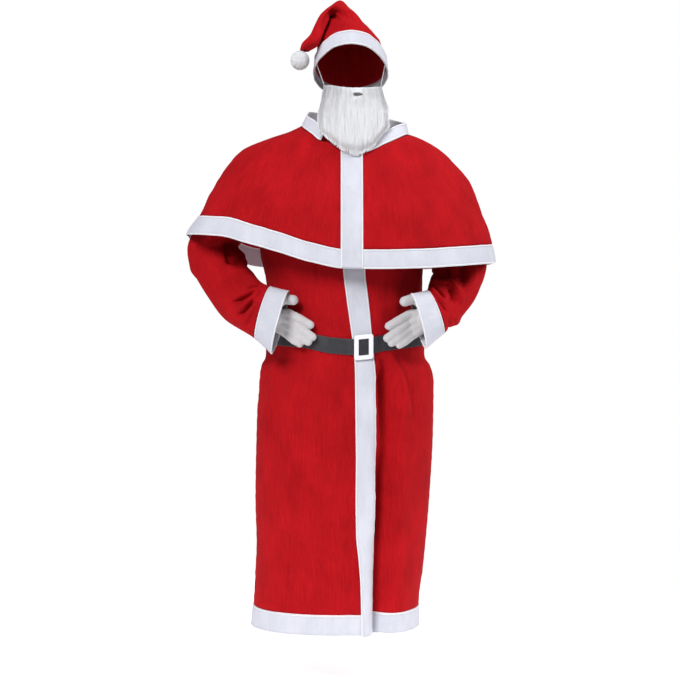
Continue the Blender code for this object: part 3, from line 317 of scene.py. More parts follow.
def fold_depth(folds, turn, height):
    """How far the long folds push the cloth out."""
    degrees, pushed = np.degrees(turn), 0.0
    for turn_top, turn_bottom, top, bottom, depth, width in folds:
        down = np.clip((top - height) / (top - bottom), 0, 1)
        aside = half_circle(degrees - turn_top - (turn_bottom - turn_top) * down)
        reach = width * (FOLD_START_WIDTH + FOLD_WIDENING * down)
        fade = soft_step(down / FOLD_FADES[0]) * soft_step((1 - down) / FOLD_FADES[1])
        pushed = pushed + depth * fade * np.exp(-((aside / reach) ** 2))
    return pushed


def crease_depth(creases, turn, along, turn_size, along_size=1.0):
    """How far short creases push the cloth out; the sizes are metres for one unit each way."""
    degrees, pushed = np.degrees(turn), 0.0
    for turn_0, along_0, turn_1, along_1, depth, width, lean in creases:
        run = half_circle(turn_1 - turn_0) * turn_size
        fall = (along_1 - along_0) * along_size
        length = np.hypot(run, fall)
        beside = half_circle(degrees - turn_0) * turn_size
        below = (along - along_0) * along_size
        t = (beside * run + below * fall) / length ** 2
        off = (beside * fall - below * run) / length
        half = np.where(off > 0, width * (1 + 2 * lean), width)
        start, end = (t + CREASE_BEYOND) / CREASE_FADES[0], (1 + CREASE_BEYOND - t) / CREASE_FADES[1]
        fade = soft_step(start) * soft_step(end)
        pushed = pushed + depth * fade * np.exp(-((off / half) ** 2))
    return pushed


def body_skin(shape, folds, creases, turn_size):
    """The inner skin that a table of cross-sections, long folds and short creases describe."""

    def skin(turn, height):
        turn, height = np.broadcast_arrays(np.asarray(turn, float), np.asarray(height, float))
        size = {name: smooth(height, shape["height"], shape[name]) for name in shape}
        across, ahead = np.sin(turn), np.cos(turn)
        half_width = np.where(across > 0, size["right"], size["left"])
        depth = np.where(ahead > 0, size["front"], size["back"])
        power = size["square"]
        reach = (np.abs(across / half_width) ** power + np.abs(ahead / depth) ** power) ** (-1 / power)
        reach = reach + fold_depth(folds, turn, height) + crease_depth(creases, turn, height, turn_size)
        return np.stack([size["middle"] + reach * across, -reach * ahead, height], -1)

    return skin


def unit(vectors):
    """The vectors, each one long."""
    return vectors / np.maximum(np.linalg.norm(vectors, axis=-1, keepdims=True), 1e-12)


def outward(skin, turn, height, out):
    """Points of a skin moved out along the cloth's own normal."""
    sideways = skin(turn + SLOPE_STEP, height) - skin(turn - SLOPE_STEP, height)
    upwards = skin(turn, height + SLOPE_STEP) - skin(turn, height - SLOPE_STEP)
    return skin(turn, height) + unit(np.cross(sideways, upwards)) * np.asarray(out)[..., None]


# Metres of cloth for one degree about the body
ROBE_TURN_SIZE = 0.0034
robe_skin = body_skin(ROBE, ROBE_FOLDS, ROBE_CREASES, ROBE_TURN_SIZE)


def robe_placket_turns(height, offset):
    """Turn of a line that runs down the robe's placket, offset metres from its middle."""
    left, right = (
        np.radians(smooth(height, PLACKET_LINE["height"], PLACKET_LINE[edge])) for edge in ("left", "right")
    )
    return left + (right - left) * (0.5 + offset / PLACKET_WIDTH)


def armhole(round_arm):
    """Height and half-turn of the armhole's edge; 0 is the shoulder tip, pi the armpit."""
    middle, half = (SHOULDER_TIP + ARMPIT) / 2, (SHOULDER_TIP - ARMPIT) / 2
    return middle + half * np.cos(round_arm), ARMHOLE_HALF_TURN * np.abs(np.sin(round_arm))


def robe_neck(turn):
    """Height of the robe's neckline, which follows the cape's a little lower."""
    return around(CAPE_NECK, turn) - ROBE_NECK_DROP


def robe_levels():
    """Rows of the robe: distance below the neck or height at the side, armhole, share of the dip."""
    down = np.linspace(0, 1, SHOULDER_ROWS)[:-1]
    levels = [("above", q, 0.0, s) for q, s in zip(down, smooth(down, NECK_DIP["down"], NECK_DIP["share"]))]
    for k in range(ARMHOLE_ROWS + 1):
        height, half_turn = armhole(math.pi * k / ARMHOLE_ROWS)
        dip = DIP_AT_TIP + (DIP_AT_ARMPIT - DIP_AT_TIP) * k / ARMHOLE_ROWS
        levels.append(("at", height, half_turn, dip))
    count = round((ARMPIT - ROBE_HEM_TOP) / CLOTH_STEP)
    for k in range(1, count + 1):
        levels.append(("at", ARMPIT + (ROBE_HEM_TOP - ARMPIT) * k / count, 0.0, 0.0))
    return levels


def robe_row_height(kind, level, share, turn):
    """Height of a robe row at any turn, following the neckline's dip near the top."""
    def side_height(side):
        neck = robe_neck(side)
        return neck + level * (SHOULDER_TIP - neck) if kind == "above" else level

    blend = (np.sin(turn) + 1) / 2
    level_here = (1 - blend) * side_height(-math.pi / 2) + blend * side_height(math.pi / 2)
    neck_here = (1 - blend) * robe_neck(-math.pi / 2) + blend * robe_neck(math.pi / 2)
    return level_here + share * (robe_neck(turn) - neck_here)


def grid_normals(grid, ring=False):
    """Unit normals of a grid of points, rows downwards and columns round the body."""
    if ring:
        along = np.roll(grid, -1, axis=1) - np.roll(grid, 1, axis=1)
    else:
        along = np.gradient(grid, axis=1)
    return unit(np.cross(along, -np.gradient(grid, axis=0)))


def grid_grain(grid, seed):
    """Where each point lies on the flat cloth: across it, down it, and a number for the piece."""
    across = np.linalg.norm(np.diff(grid, axis=1), axis=-1).mean(axis=0)
    down = np.linalg.norm(np.diff(grid, axis=0), axis=-1).mean(axis=1)
    u = np.concatenate([[0], np.cumsum(across)])
    v = np.concatenate([[0], np.cumsum(down)])
    u, v = np.meshgrid(u - u.mean(), v)
    return np.stack([u, v, np.full_like(u, seed)], -1)


def add_piece(name, mesh, finish, node):
    """Puts a mesh in the scene in place of a solid."""
    piece = bpy.data.objects.new(name, mesh)
    mesh.materials.append(finish.material)
    bpy.context.scene.collection.objects.link(piece)
    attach(piece, "root")
    if node:
        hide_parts(node)
    return piece


def shell_mesh(name, inner, outer, ring=False, grain=None, edge=None):
    """A closed thin wall between two grids of points of the same size."""
    rows, width = inner.shape[:2]
    number = np.arange(rows * width).reshape(rows, width)
    if ring:
        number = np.concatenate([number, number[:, :1]], axis=1)
    a, b = number[:-1, :-1].ravel(), number[1:, :-1].ravel()
    c, d = number[1:, 1:].ravel(), number[:-1, 1:].ravel()
    count = rows * width
    faces = [np.stack([a, b, c, d], 1) + count, np.stack([d, c, b, a], 1)]
    rims = [number[0], number[-1, ::-1]]
    if not ring:
        rims += [number[::-1, 0], number[:, -1]]
    for rim in rims:
        here, there = rim[:-1], rim[1:]
        faces.append(np.stack([here, here + count, there + count, there], 1))
    faces = np.concatenate(faces)
    points = np.concatenate([inner.reshape(-1, 3), outer.reshape(-1, 3)])
    mesh = bpy.data.meshes.new(name)
    mesh.from_pydata(points.tolist(), [], faces.tolist())
    mesh.shade_smooth()
    grain = grid_grain(outer, 0.0) if grain is None else grain
    store(mesh, "grain", "FLOAT_VECTOR", np.concatenate([grain.reshape(-1, 3)] * 2))
    if edge is not None:
        edge = np.broadcast_to(edge, inner.shape[:2]).ravel()
        store(mesh, "edge", "FLOAT", np.concatenate([edge] * 2))
    return mesh


def store(mesh, name, kind, values):
    """Keeps a number or a vector at each vertex for the materials to read."""
    layer = mesh.attributes.new(name, kind, "POINT")
    key = "vector" if kind == "FLOAT_VECTOR" else "value"
    layer.data.foreach_set(key, np.ascontiguousarray(values, np.float32).ravel())


class Wire:
    """A socket of a material, with the arithmetic that the finishes use."""

    def __init__(self, finish, socket):
        self.finish, self.socket = finish, socket

    def maths(self, operation, *values):
        return self.finish.node("Math", {"operation": operation}, dict(enumerate(values)))

    def __add__(self, other):
        return self.maths("ADD", self, other)

    def __sub__(self, other):
        return self.maths("SUBTRACT", self, other)

    def __rsub__(self, other):
        return self.maths("SUBTRACT", other, self)

    def __mul__(self, other):
        return self.maths("MULTIPLY", self, other)

    def __truediv__(self, other):
        return self.maths("DIVIDE", self, other)

    def __rtruediv__(self, other):
        return self.maths("DIVIDE", other, self)

    __radd__, __rmul__ = __add__, __mul__


class Finish:
    """A material that starts as a plain Principled one and gets its detail node by node."""

    def __init__(self, name, roughness, fixed):
        self.material = bpy.data.materials.new(name)
        self.material.use_nodes = True
        self.tree = self.material.node_tree
        self.shader = self.tree.nodes["Principled BSDF"]
        self.shader.inputs["Roughness"].default_value = roughness
        for socket, value in fixed.items():
            self.shader.inputs[socket].default_value = value

    def node(self, kind, settings=None, values=None, output=0):
        """Adds a node: its settings first, then the values or wires of its sockets."""
        node = self.tree.nodes.new("ShaderNode" + kind)
        for key, value in (settings or {}).items():
            if key == "stops":
                for place, level in value:
                    spot = node.color_ramp.elements.new(place)
                    spot.color = (level, level, level, 1)
                node.color_ramp.elements.remove(node.color_ramp.elements[0])
                node.color_ramp.elements.remove(node.color_ramp.elements[-1])
            else:
                setattr(node, key, value)
        for key, value in (values or {}).items():
            if isinstance(value, Wire):
                self.tree.links.new(value.socket, node.inputs[key])
            else:
                node.inputs[key].default_value = value
        return Wire(self, node.outputs[output])

    def feed(self, socket, wire):
        self.tree.links.new(wire.socket, self.shader.inputs[socket])

    def attribute(self, name, output="Vector"):
        return self.node("Attribute", {"attribute_name": name}, output=output)

    def scaled(self, vector, scale):
        return self.node("VectorMath", {"operation": "MULTIPLY"}, {0: vector, 1: scale})

    def noise(self, vector, scale, detail=2.0, roughness=0.5):
        """Noise from 0 to 1 whose grain has its own scale along each axis, in cycles per metre."""
        return self.node("TexNoise", None, {
            "Vector": self.scaled(vector, scale), "Scale": 1.0, "Detail": detail, "Roughness": roughness,
        })

    def blend(self, factor, first, second):
        """A colour between two colours."""
        ends = [end if isinstance(end, Wire) else (*end, 1) for end in (first, second)]
        return self.node("Mix", {"data_type": "RGBA"}, {0: factor, 6: ends[0], 7: ends[1]}, 2)

    def ramp(self, factor, *stops):
        return self.node("ValToRGB", {"stops": stops}, {0: factor})

    def bump(self, height, metres, under=None):
        values = {"Height": height, "Distance": metres, "Strength": 1.0}
        if under:
            values["Normal"] = under
        return self.node("Bump", None, values)


def felt(name, deep, light, streak=1.0):
    """Napped felt: upright streaks, slubs and a haze of loose fibres on its surface."""
    finish = Finish(name, 0.93, {
        "Sheen Weight": 0.16, "Sheen Roughness": 0.45, "Sheen Tint": (*light, 1), "Specular IOR Level": 0.12,
    })
    grain = finish.attribute("grain")
    streaks = finish.noise(grain, (260, 16, 9), 3.0, 0.6)
    threads = finish.noise(grain, (900, 70, 9), 2.0, 0.6)
    patches = finish.noise(grain, (16, 9, 5), 3.0, 0.55)
    slubs = finish.ramp(finish.noise(grain, (330, 60, 21), 1.0, 0.4), (0.62, 0.0), (0.74, 1.0))
    fibres = finish.noise(grain, (2600, 900, 30), 3.0, 0.7)
    tone = (
        0.5 + (streaks - 0.5) * streak + (threads - 0.5) * (0.8 * streak)
        + (patches - 0.5) * 1.2 + slubs * (0.16 * streak) + (fibres - 0.5) * 0.6
    )
    finish.feed("Base Color", finish.blend(tone, deep, light))
    relief = finish.bump(streaks * 0.6 + threads * 0.4, 0.0007 * streak)
    finish.feed("Normal", finish.bump(fibres, 0.00035, relief))
    return finish


RED_DEEP, RED_LIGHT = (0.27, 0.0018, 0.0042), (0.48, 0.0052, 0.0100)
red_felt = felt("red_felt", RED_DEEP, RED_LIGHT)


def front_turns(side, centre_height, opening):
    """Turns across one front, from the middle of the placket to the side seam or armhole."""
    steps = np.linspace(0.0, 1.0, round(FRONT_WIDTH / CLOTH_STEP) + 1)
    closer_in_front = steps * (1 - FRONT_CLOSENESS + FRONT_CLOSENESS * steps)
    shares = np.concatenate([UNDER_PLACKET, closer_in_front])
    start = robe_placket_turns(centre_height, 0.0) + side * SEAM / 2 / FRONT_REACH
    edge = robe_placket_turns(centre_height, side * PLACKET_WIDTH / 2)
    seam = side * (math.pi / 2 - opening - SIDE_SEAM / SIDE_REACH)
    turns = np.where(shares < 0, edge + (edge - start) * shares, edge + (seam - edge) * shares)
    return np.sort(turns)


def back_turns(opening, count=round(BACK_WIDTH / CLOTH_STEP)):
    """Turns across the back, from the right side seam to the left one."""
    start = math.pi / 2 + opening + SIDE_SEAM / SIDE_REACH
    return np.linspace(start, 2 * math.pi - start, count + 1)


def seam_dip(turns, rows):
    """Cloth drawn in where two panels are sewn together, with small puckers along the seam."""
    away = np.minimum(np.abs(np.abs(np.sin(turns / 2)) - math.sin(math.pi / 4)), 1) * 2 * SIDE_REACH
    ripple = np.sin(rows * 190) + 0.6 * np.sin(rows * 311 + 1.3)
    puckers = PUCKER * ripple * np.exp(-((away / PUCKER_REACH) ** 2))
    return -SEAM_DIP * np.exp(-((away / SEAM_REACH) ** 2)) + puckers


def band_dip(away):
    """Cloth drawn in along the edge that a band is sewn to."""
    return BAND_DIP * np.exp(-((away / BAND_REACH) ** 2))


def robe_panel_grid(part, levels):
    """Turns and heights of a panel's points, a row for each level."""
    turns_of = {
        "front_left": lambda centre, opening: front_turns(-1, centre, opening),
        "front_right": lambda centre, opening: front_turns(1, centre, opening),
        "back": lambda centre, opening: back_turns(opening),
    }[part]
    turns, heights = [], []
    for kind, level, opening, share in levels:
        row = turns_of(robe_row_height(kind, level, share, 0.0), opening)
        turns.append(row)
        heights.append(robe_row_height(kind, level, share, row))
    return np.array(turns), np.array(heights)


def cut_panel(name, skin, turns, heights, dip, seed):
    """A panel of red felt on a skin, drawn in where the dip says."""
    inner = outward(skin, turns, heights, dip)
    outer = outward(skin, turns, heights, FELT + dip)
    mesh = shell_mesh(name, inner, outer, grain=grid_grain(outer, seed))
    return add_piece(name + "_cloth", mesh, red_felt, name)


ROBE_CUTS = {
    # width, length, area of the flat piece
    "front_left": (0.40, 1.31, 0.437), "front_right": (0.33, 1.31, 0.349), "back": (0.68, 1.34, 0.758),
}

for seed, (part, (width, length, area)) in enumerate(ROBE_CUTS.items()):
    turns, heights = robe_panel_grid(part, robe_levels())
    dip = seam_dip(turns, heights) - band_dip(heights - ROBE_HEM_TOP)
    panel = cut_panel("robe_" + part, robe_skin, turns, heights, dip, seed * 3.1)

# ---------------------------------------------------------------- robe trims
# White felt strips, folded double and stitched down along both edges: the placket over the front
# opening and the band round the hem. The folds make each edge stand up in a narrow rounded roll.

WHITE_DEEP, WHITE_LIGHT = (0.49, 0.50, 0.57), (0.67, 0.68, 0.75)
# A painted highlight along the folded edges of the white strips, and painted shade along their rows of
# stitching
PAINTED_EDGE_HIGHLIGHT, PAINTED_STITCH_SHADE = (0.74, 0.74, 0.78), (0.52, 0.53, 0.62)
ROLL_HEIGHT, ROLL_AT, ROLL_WIDTH = 0.0009, 0.0026, 0.0015
STITCH_AT, STITCH_WIDTH, STITCH_DEPTH = 0.0052, 0.0007, 0.0005
STITCH_LENGTH = 0.0036
EDGE_RADIUS, EDGE_START = 0.0014, 0.0001
# The materials read the distance to a strip's edge as a share of this one
EDGE_SPAN = 0.01
# Far from an edge a strip's rows lie this far apart
STRIP_STEP = 0.006
# What lies under a placket is kept flat to this far in turn from its middle
PLACKET_COVER, CAPE_PLACKET_COVER, COVER_FADE = 0.16, 0.14, 0.03
# How far sewing waves may dip below the plain cloth, and how far a band's inner face may rise
PLACKET_SINK, BAND_SINK, CUFF_SINK = 0.0002, 0.0003, 0.0004
BAND_LIFT = 0.0006
# The placket lies flat under the belt
BELT_CROSSING, BELT_FLAT = -0.544, 0.05
PLACKET_HEM_ROWS = 10
# Creases across a strip start and end this share of their length beyond it, and fade over this one
STRIP_CREASE_BEYOND, STRIP_CREASE_FADE = 0.1, 0.4
# How high the waves along a band rise, and about how far from the middle the robe's hem goes round
BAND_WAVE, HEM_RADIUS = 0.0007, 0.22
# Distances from each edge at which a strip has a row of points, closest where it rolls over
EDGE_ROWS = (0.0, 0.0003, 0.0008, 0.0014, 0.0020, 0.0026, 0.0034, 0.0043, 0.0049, 0.0055, 0.0064, 0.0085)


def strip_rows(width):
    """Distances across a strip, from one folded edge to the other."""
    count = max(2, round((width - 2 * EDGE_ROWS[-1]) / STRIP_STEP)) + 1
    middle = np.linspace(EDGE_ROWS[-1], width - EDGE_ROWS[-1], count)[1:-1]
    return np.concatenate([EDGE_ROWS, middle, width - np.array(EDGE_ROWS[::-1])])


def from_edge(across, width):
    """Distance to the nearer edge of a strip."""
    return np.minimum(across, width - across)


def rounded_edge(edge, radius):
    """0 at an edge, rising as a quarter of a circle to 1 at a radius in from it."""
    return np.sqrt(1 - (1 - np.clip(edge / radius, 0, 1)) ** 2)


def strip_out(across, width, wall=TRIM):
    """How far the outer face of a folded strip stands off, from its distance to one edge."""
    edge = from_edge(across, width)
    rounded = rounded_edge(edge, EDGE_RADIUS)
    roll = ROLL_HEIGHT * np.exp(-(((edge - ROLL_AT) / ROLL_WIDTH) ** 2))
    stitch = STITCH_DEPTH * np.exp(-(((edge - STITCH_AT) / STITCH_WIDTH) ** 2))
    return EDGE_START + (wall - EDGE_START) * rounded + (roll - stitch) * rounded


def cockle(along, across, seed, height=0.0005):
    """Slight waves that sewing leaves along a strip, 2 to 8 cm apart."""
    waves = (
        np.sin(along * 74 + seed) * np.sin(across * 55 + seed * 1.7 + along * 9)
        + 0.7 * np.sin(along * 143 + 2.1 * seed + across * 30)
        + 0.5 * np.sin(along * 231 + 0.7 * seed - across * 62)
    )
    return height * waves


def trim_felt(name):
    """White felt with a painted highlight along each folded edge, and a row of thread near each that is
    bumped and has painted shade along it.
    """
    finish = felt(name, WHITE_DEEP, WHITE_LIGHT, 0.45)
    plain = finish.shader.inputs["Base Color"].links[0].from_socket
    bumped = finish.shader.inputs["Normal"].links[0].from_socket
    edge = finish.attribute("edge", "Fac")
    grain = finish.attribute("grain")
    # Painted highlight: the colour turns whiter towards each folded edge
    painted_highlight = finish.ramp(edge / EDGE_SPAN, (0.0, 1.0), (0.36, 0.85), (0.50, 0.0))
    seam_line = finish.ramp(edge / EDGE_SPAN, (0.42, 0.0), (0.50, 1.0), (0.60, 0.0))
    colour = finish.blend(painted_highlight, Wire(finish, plain), PAINTED_EDGE_HIGHLIGHT)
    # Painted shade along the row of stitching
    finish.feed("Base Color", finish.blend(seam_line * 0.5, colour, PAINTED_STITCH_SHADE))
    along = finish.node("SeparateXYZ", None, {0: grain}, 0) + finish.node("SeparateXYZ", None, {0: grain}, 1)
    half = STITCH_LENGTH / 2
    dash = finish.node("Math", {"operation": "PINGPONG"}, {0: along, 1: half}) / half
    thread = seam_line * finish.ramp(dash, (0.25, 0.0), (0.45, 1.0))
    finish.feed("Normal", finish.bump(thread, 0.0006, Wire(finish, bumped)))
    return finish


white_felt = trim_felt("white_felt")
PLACKET_CREASES = (
    # height, distance across, height, distance across, depth, half-width
    (-0.635, 0.012, -0.668, 0.045, 0.0024, 0.0048),
    (-0.690, 0.040, -0.740, 0.030, -0.0018, 0.0056),
    (-0.775, 0.008, -0.842, 0.046, -0.0024, 0.0048),
    (-0.800, 0.020, -0.850, 0.050, 0.0021, 0.0048),
    (-0.905, 0.046, -0.960, 0.020, -0.0018, 0.0056),
    (-0.420, 0.010, -0.470, 0.042, 0.0019, 0.0056),
    (-1.050, 0.014, -1.090, 0.044, 0.0016, 0.0056),
)


def line_creases(creases, along, across):
    """Creases on a strip, each a soft ridge or trough along a line in metres."""
    pushed = 0.0
    for along_0, across_0, along_1, across_1, depth, width in creases:
        run, fall = along_1 - along_0, across_1 - across_0
        length = np.hypot(run, fall)
        t = ((along - along_0) * run + (across - across_0) * fall) / length ** 2
        off = ((along - along_0) * fall - (across - across_0) * run) / length
        start, end = t + STRIP_CREASE_BEYOND, 1 + STRIP_CREASE_BEYOND - t
        fade = soft_step(start / STRIP_CREASE_FADE) * soft_step(end / STRIP_CREASE_FADE)
        pushed = pushed + depth * fade * np.exp(-((off / width) ** 2))
    return pushed


def sew_placket(name, skin, turns, heights, stand_off, wave, seed):
    """A placket that stands off a skin, with the waves and creases of its sewing."""
    across, out = strip_rows(PLACKET_WIDTH), stand_off + np.maximum(wave, -PLACKET_SINK)
    inner = outward(skin, turns, heights, out)
    outer = outward(skin, turns, heights, out + strip_out(across, PLACKET_WIDTH))
    edge = from_edge(across, PLACKET_WIDTH)
    mesh = shell_mesh(name, inner, outer, grain=grid_grain(outer, seed), edge=edge)
    return add_piece(name + "_strip", mesh, white_felt, name)


def sew_band(name, skin, turns, heights, down, width, wave, clear, seed):
    """A band along a lower edge, from distances down it; it lies flat where clear is under 1."""
    down, dip = down[:, None], seam_dip(turns, heights * 0)
    wave = np.maximum(wave, -BAND_SINK) * clear
    out = strip_out(down, width) + wave + dip
    out = np.where(clear < 1, np.minimum(out, TRIM), out)
    inner = outward(skin, turns, heights, np.minimum(dip + wave, BAND_LIFT))
    outer = outward(skin, turns, heights, out)
    mesh = shell_mesh(name, inner, outer, grain=grid_grain(outer, seed), edge=from_edge(down, width))
    return add_piece(name + "_strip", mesh, white_felt, name)


levels = robe_levels() + [
    ("at", ROBE_HEM_TOP + (ROBE_HEM_BOTTOM - ROBE_HEM_TOP) * k / PLACKET_HEM_ROWS, 0.0, 0.0)
    for k in range(1, PLACKET_HEM_ROWS + 1)
]
across = strip_rows(PLACKET_WIDTH)
turns, heights = [], []
for kind, level, opening, share in levels:
    centre_height = robe_row_height(kind, level, share, 0.0)
    row = robe_placket_turns(centre_height, across - PLACKET_WIDTH / 2)
    turns.append(row)
    heights.append(robe_row_height(kind, level, share, row))
turns, heights = np.array(turns), np.array(heights)
wave = cockle(heights, across, 1.0) + line_creases(PLACKET_CREASES, heights, across)
wave = wave * soft_step(np.abs(heights - BELT_CROSSING) / BELT_FLAT)
placket = sew_placket("robe_placket", robe_skin, turns, heights, TRIM + PLACKET_GAP, wave, 11.0)

# Widths of the hem band's flat strips, which all have the one length
HEM_CUTS, HEM_CUT_LENGTH = {"front_left": 0.405, "front_right": 0.272, "back": 0.651}, 0.056
HEM_WIDTH = ROBE_HEM_TOP - ROBE_HEM_BOTTOM - 2 * SEAM
down = strip_rows(HEM_WIDTH)
for seed, (part, width) in enumerate(HEM_CUTS.items()):
    hem_levels = [("at", ROBE_HEM_TOP - 2 * SEAM - d, 0.0, 0.0) for d in down]
    turns, heights = robe_panel_grid(part, hem_levels)
    wave = cockle(turns * HEM_RADIUS, heights, 2.3 + seed, BAND_WAVE)
    clear = soft_step((np.abs(turns - robe_placket_turns(ROBE_HEM_BOTTOM, 0.0)) - PLACKET_COVER) / COVER_FADE)
    hem = sew_band("robe_hem_" + part, robe_skin, turns, heights, down, HEM_WIDTH, wave, clear, 13.0 + seed)

# ---------------------------------------------------------------- sleeves and cuffs
# Wide one-piece sleeves of the same red felt, set in at the armhole and bent at the elbow, where
# the cloth breaks into folds. Each ends in a white felt cuff, folded double.

ARM_COLUMNS, UPPER_ARM_ROWS, LOWER_ARM_ROWS, CUFF_RUN_ROWS = 108, 56, 76, 60
ELBOW, CUFF_START, CUFF_END = 4, 8, 9
# Folds and creases fade out over these numbers of stations: before the cuff, and after the armhole
FOLD_FADE, CREASE_FADE, ARMHOLE_FADE = 1.2, 0.4, 2
UNDERARM_EASE = 1.3
SLEEVES = {
    # x, y, z, half-size across the arm, half-size in depth, tilt, turn towards its own side
    "left": (
        (-0.260, 0.000, -0.156, 0.088, 0.086, 68, 0),
        (-0.281, 0.003, -0.195, 0.0755, 0.076, 50, 0),
        (-0.309, 0.006, -0.238, 0.070, 0.069, 25, 4),
        (-0.346, 0.004, -0.290, 0.067, 0.065, -4, 10),
        (-0.327, -0.030, -0.344, 0.065, 0.061, -26, 14),
        (-0.293, -0.074, -0.400, 0.064, 0.056, -35, 14),
        (-0.262, -0.110, -0.437, 0.065, 0.051, -46, 12),
        (-0.2095, -0.148, -0.468, 0.068, 0.046, -74, 10),
        (-0.1625, -0.180, -0.494, 0.081, 0.040, -75, 8),
    ),
    "right": (
        (0.252, 0.000, -0.158, 0.085, 0.086, 67, 0),
        (0.272, 0.003, -0.195, 0.0745, 0.076, 48, 0),
        (0.289, 0.006, -0.245, 0.066, 0.069, 26, 4),
        (0.303, 0.004, -0.302, 0.066, 0.065, -2, 10),
        (0.298, -0.028, -0.352, 0.065, 0.061, -14, 14),
        (0.281, -0.070, -0.402, 0.061, 0.056, -26, 14),
        (0.254, -0.110, -0.440, 0.058, 0.050, -52, 12),
        (0.2305, -0.148, -0.466, 0.057, 0.044, -69, 10),
        (0.1830, -0.180, -0.491, 0.070, 0.040, -75, 8),
    ),
}
# Stations left free between sleeve and cuff; the waves along a cuff start this far from its upper edge
CUFF_GAPS = {"left": 0.022, "right": 0.032}
CUFF_RADIUS, CUFF_WAVE, CUFF_CALM = 0.075, 0.0006, 0.012
SLEEVE_FOLDS = (
    # station, round the arm, depth, length in stations, width in turn
    (4.2, 165, -0.009, 0.35, 60),
    (5.0, 150, 0.006, 0.30, 55),
    (5.5, 160, -0.008, 0.28, 60),
    (6.2, 120, -0.005, 0.35, 45),
    (3.4, 185, -0.006, 0.35, 55),
    (4.6, 30, 0.005, 0.50, 45),
    (2.3, 60, -0.004, 0.40, 60),
)
ARM_TURN_SIZE, ARM_STATION_SIZE = 0.00115, 0.056
# Creases that run out from the inner elbow, where the arm bends
SLEEVE_CREASES = {
    "left": (
        # round the arm, station, round the arm, station, depth, width, lean
        (150, 2.6, 60, 3.4, 0.0100, 0.0080, 0.9),
        (136, 3.7, 123, 5.3, -0.0170, 0.0058, 1.2),
        (108, 3.7, 100, 5.2, 0.0060, 0.0140, 0.3),
        (120, 5.15, 177, 5.55, -0.0150, 0.0052, 1.0),
        (112, 5.5, 172, 5.95, 0.0060, 0.0080, 0.4),
        (165, 3.9, 168, 5.3, -0.0120, 0.0110, 0.2),
        (168, 7.30, 124, 6.85, -0.0100, 0.0050, 0.2),
        (142, 7.42, 70, 6.90, -0.0190, 0.0058, 0.4),
        (138, 7.66, 58, 7.14, 0.0120, 0.0050, 0.2),
        (112, 7.60, 54, 7.40, -0.0170, 0.0046, 0.2),
        (114, 7.80, 40, 7.50, 0.0090, 0.0044, 0.2),
        (100, 7.88, 34, 7.70, -0.0100, 0.0044, 0.2),
        (66, 3.9, 40, 4.5, -0.0040, 0.0060, 0.3),
        (30, 3.0, 80, 4.1, -0.0051, 0.0088, 0.3),
        (15, 4.6, 60, 5.6, 0.0051, 0.008, 0.3),
        (40, 6.0, 20, 7.3, -0.0051, 0.008, 0.3),
        (200, 4.4, 290, 4.7, -0.0102, 0.0072, 0.2),
        (205, 5.2, 285, 5.8, 0.0093, 0.0072, 0.3),
        (210, 6.0, 280, 6.5, -0.0093, 0.0072, 0.2),
        (330, 3.4, 270, 4.2, 0.0068, 0.0088, 0.3),
        (340, 5.0, 290, 5.9, -0.0059, 0.008, 0.3),
        (185, 2.4, 260, 3.0, -0.0085, 0.008, 0.3),
    ),
    "right": (
        (165, 2.4, 95, 3.1, -0.0102, 0.0072, 0.2),
        (150, 2.9, 60, 3.4, 0.0100, 0.0072, 0.8),
        (122, 5.6, 180, 6.1, -0.0270, 0.0075, 1.2),
        (116, 5.95, 170, 6.75, 0.0100, 0.0070, 0.2),
        (95, 4.5, 82, 6.0, -0.0230, 0.0052, 1.6),
        (75, 4.5, 64, 6.0, 0.0070, 0.0110, 0.3),
        (120, 5.8, 60, 6.6, 0.0150, 0.0075, 0.2),
        (112, 6.3, 70, 6.9, -0.0160, 0.0085, 0.4),
        (172, 7.22, 98, 7.05, -0.0200, 0.0056, 0.3),
        (158, 7.60, 86, 7.34, 0.0120, 0.0050, 0.2),
        (128, 7.85, 70, 7.58, -0.0110, 0.0048, 0.2),
        (66, 7.15, -20, 7.15, 0.0070, 0.0120, 0.0),
        (60, 7.72, -20, 7.68, -0.0070, 0.0060, 0.2),
        (20, 4.0, 60, 5.0, 0.0059, 0.0088, 0.3),
        (15, 5.4, 55, 6.2, -0.0051, 0.008, 0.3),
        (200, 4.5, 290, 4.8, -0.0102, 0.0072, 0.2),
        (205, 5.3, 285, 5.8, 0.0093, 0.0072, 0.3),
        (210, 6.1, 280, 6.6, -0.0093, 0.0072, 0.2),
        (330, 3.3, 270, 4.1, 0.0068, 0.0088, 0.3),
        (345, 5.2, 290, 5.7, -0.0059, 0.008, 0.3),
    ),
}


def sleeve_ring(side, station, round_arm):
    """One station's ring; 0 is the outer side of the arm and pi/2 its front."""
    x, y, z, across, deep, tilt, yaw = SLEEVES[side][station - 1]
    sign = 1 if side == "right" else -1
    tilt, yaw = math.radians(tilt), math.radians(yaw)
    outer = np.array((sign * math.cos(tilt), 0, math.sin(tilt)))
    front = np.array((sign * math.sin(yaw), -math.cos(yaw), 0))
    cosine, sine = np.cos(round_arm)[..., None], np.sin(round_arm)[..., None]
    return np.array((x, y, z)) + outer * across * cosine + front * deep * sine


def armhole_point(side, round_arm):
    """Where the sleeve starts, just outside the edge of the robe's armhole."""
    sign = 1 if side == "right" else -1
    height, half_turn = armhole(round_arm)
    turn = sign * (math.pi / 2 - np.where(np.sin(round_arm) > 0, 1, -1) * half_turn)
    stand_off = FELT + 2 * SEAM + UNDERARM_EASE * FELT * (1 - np.cos(round_arm))
    return outward(robe_skin, turn, height, stand_off)


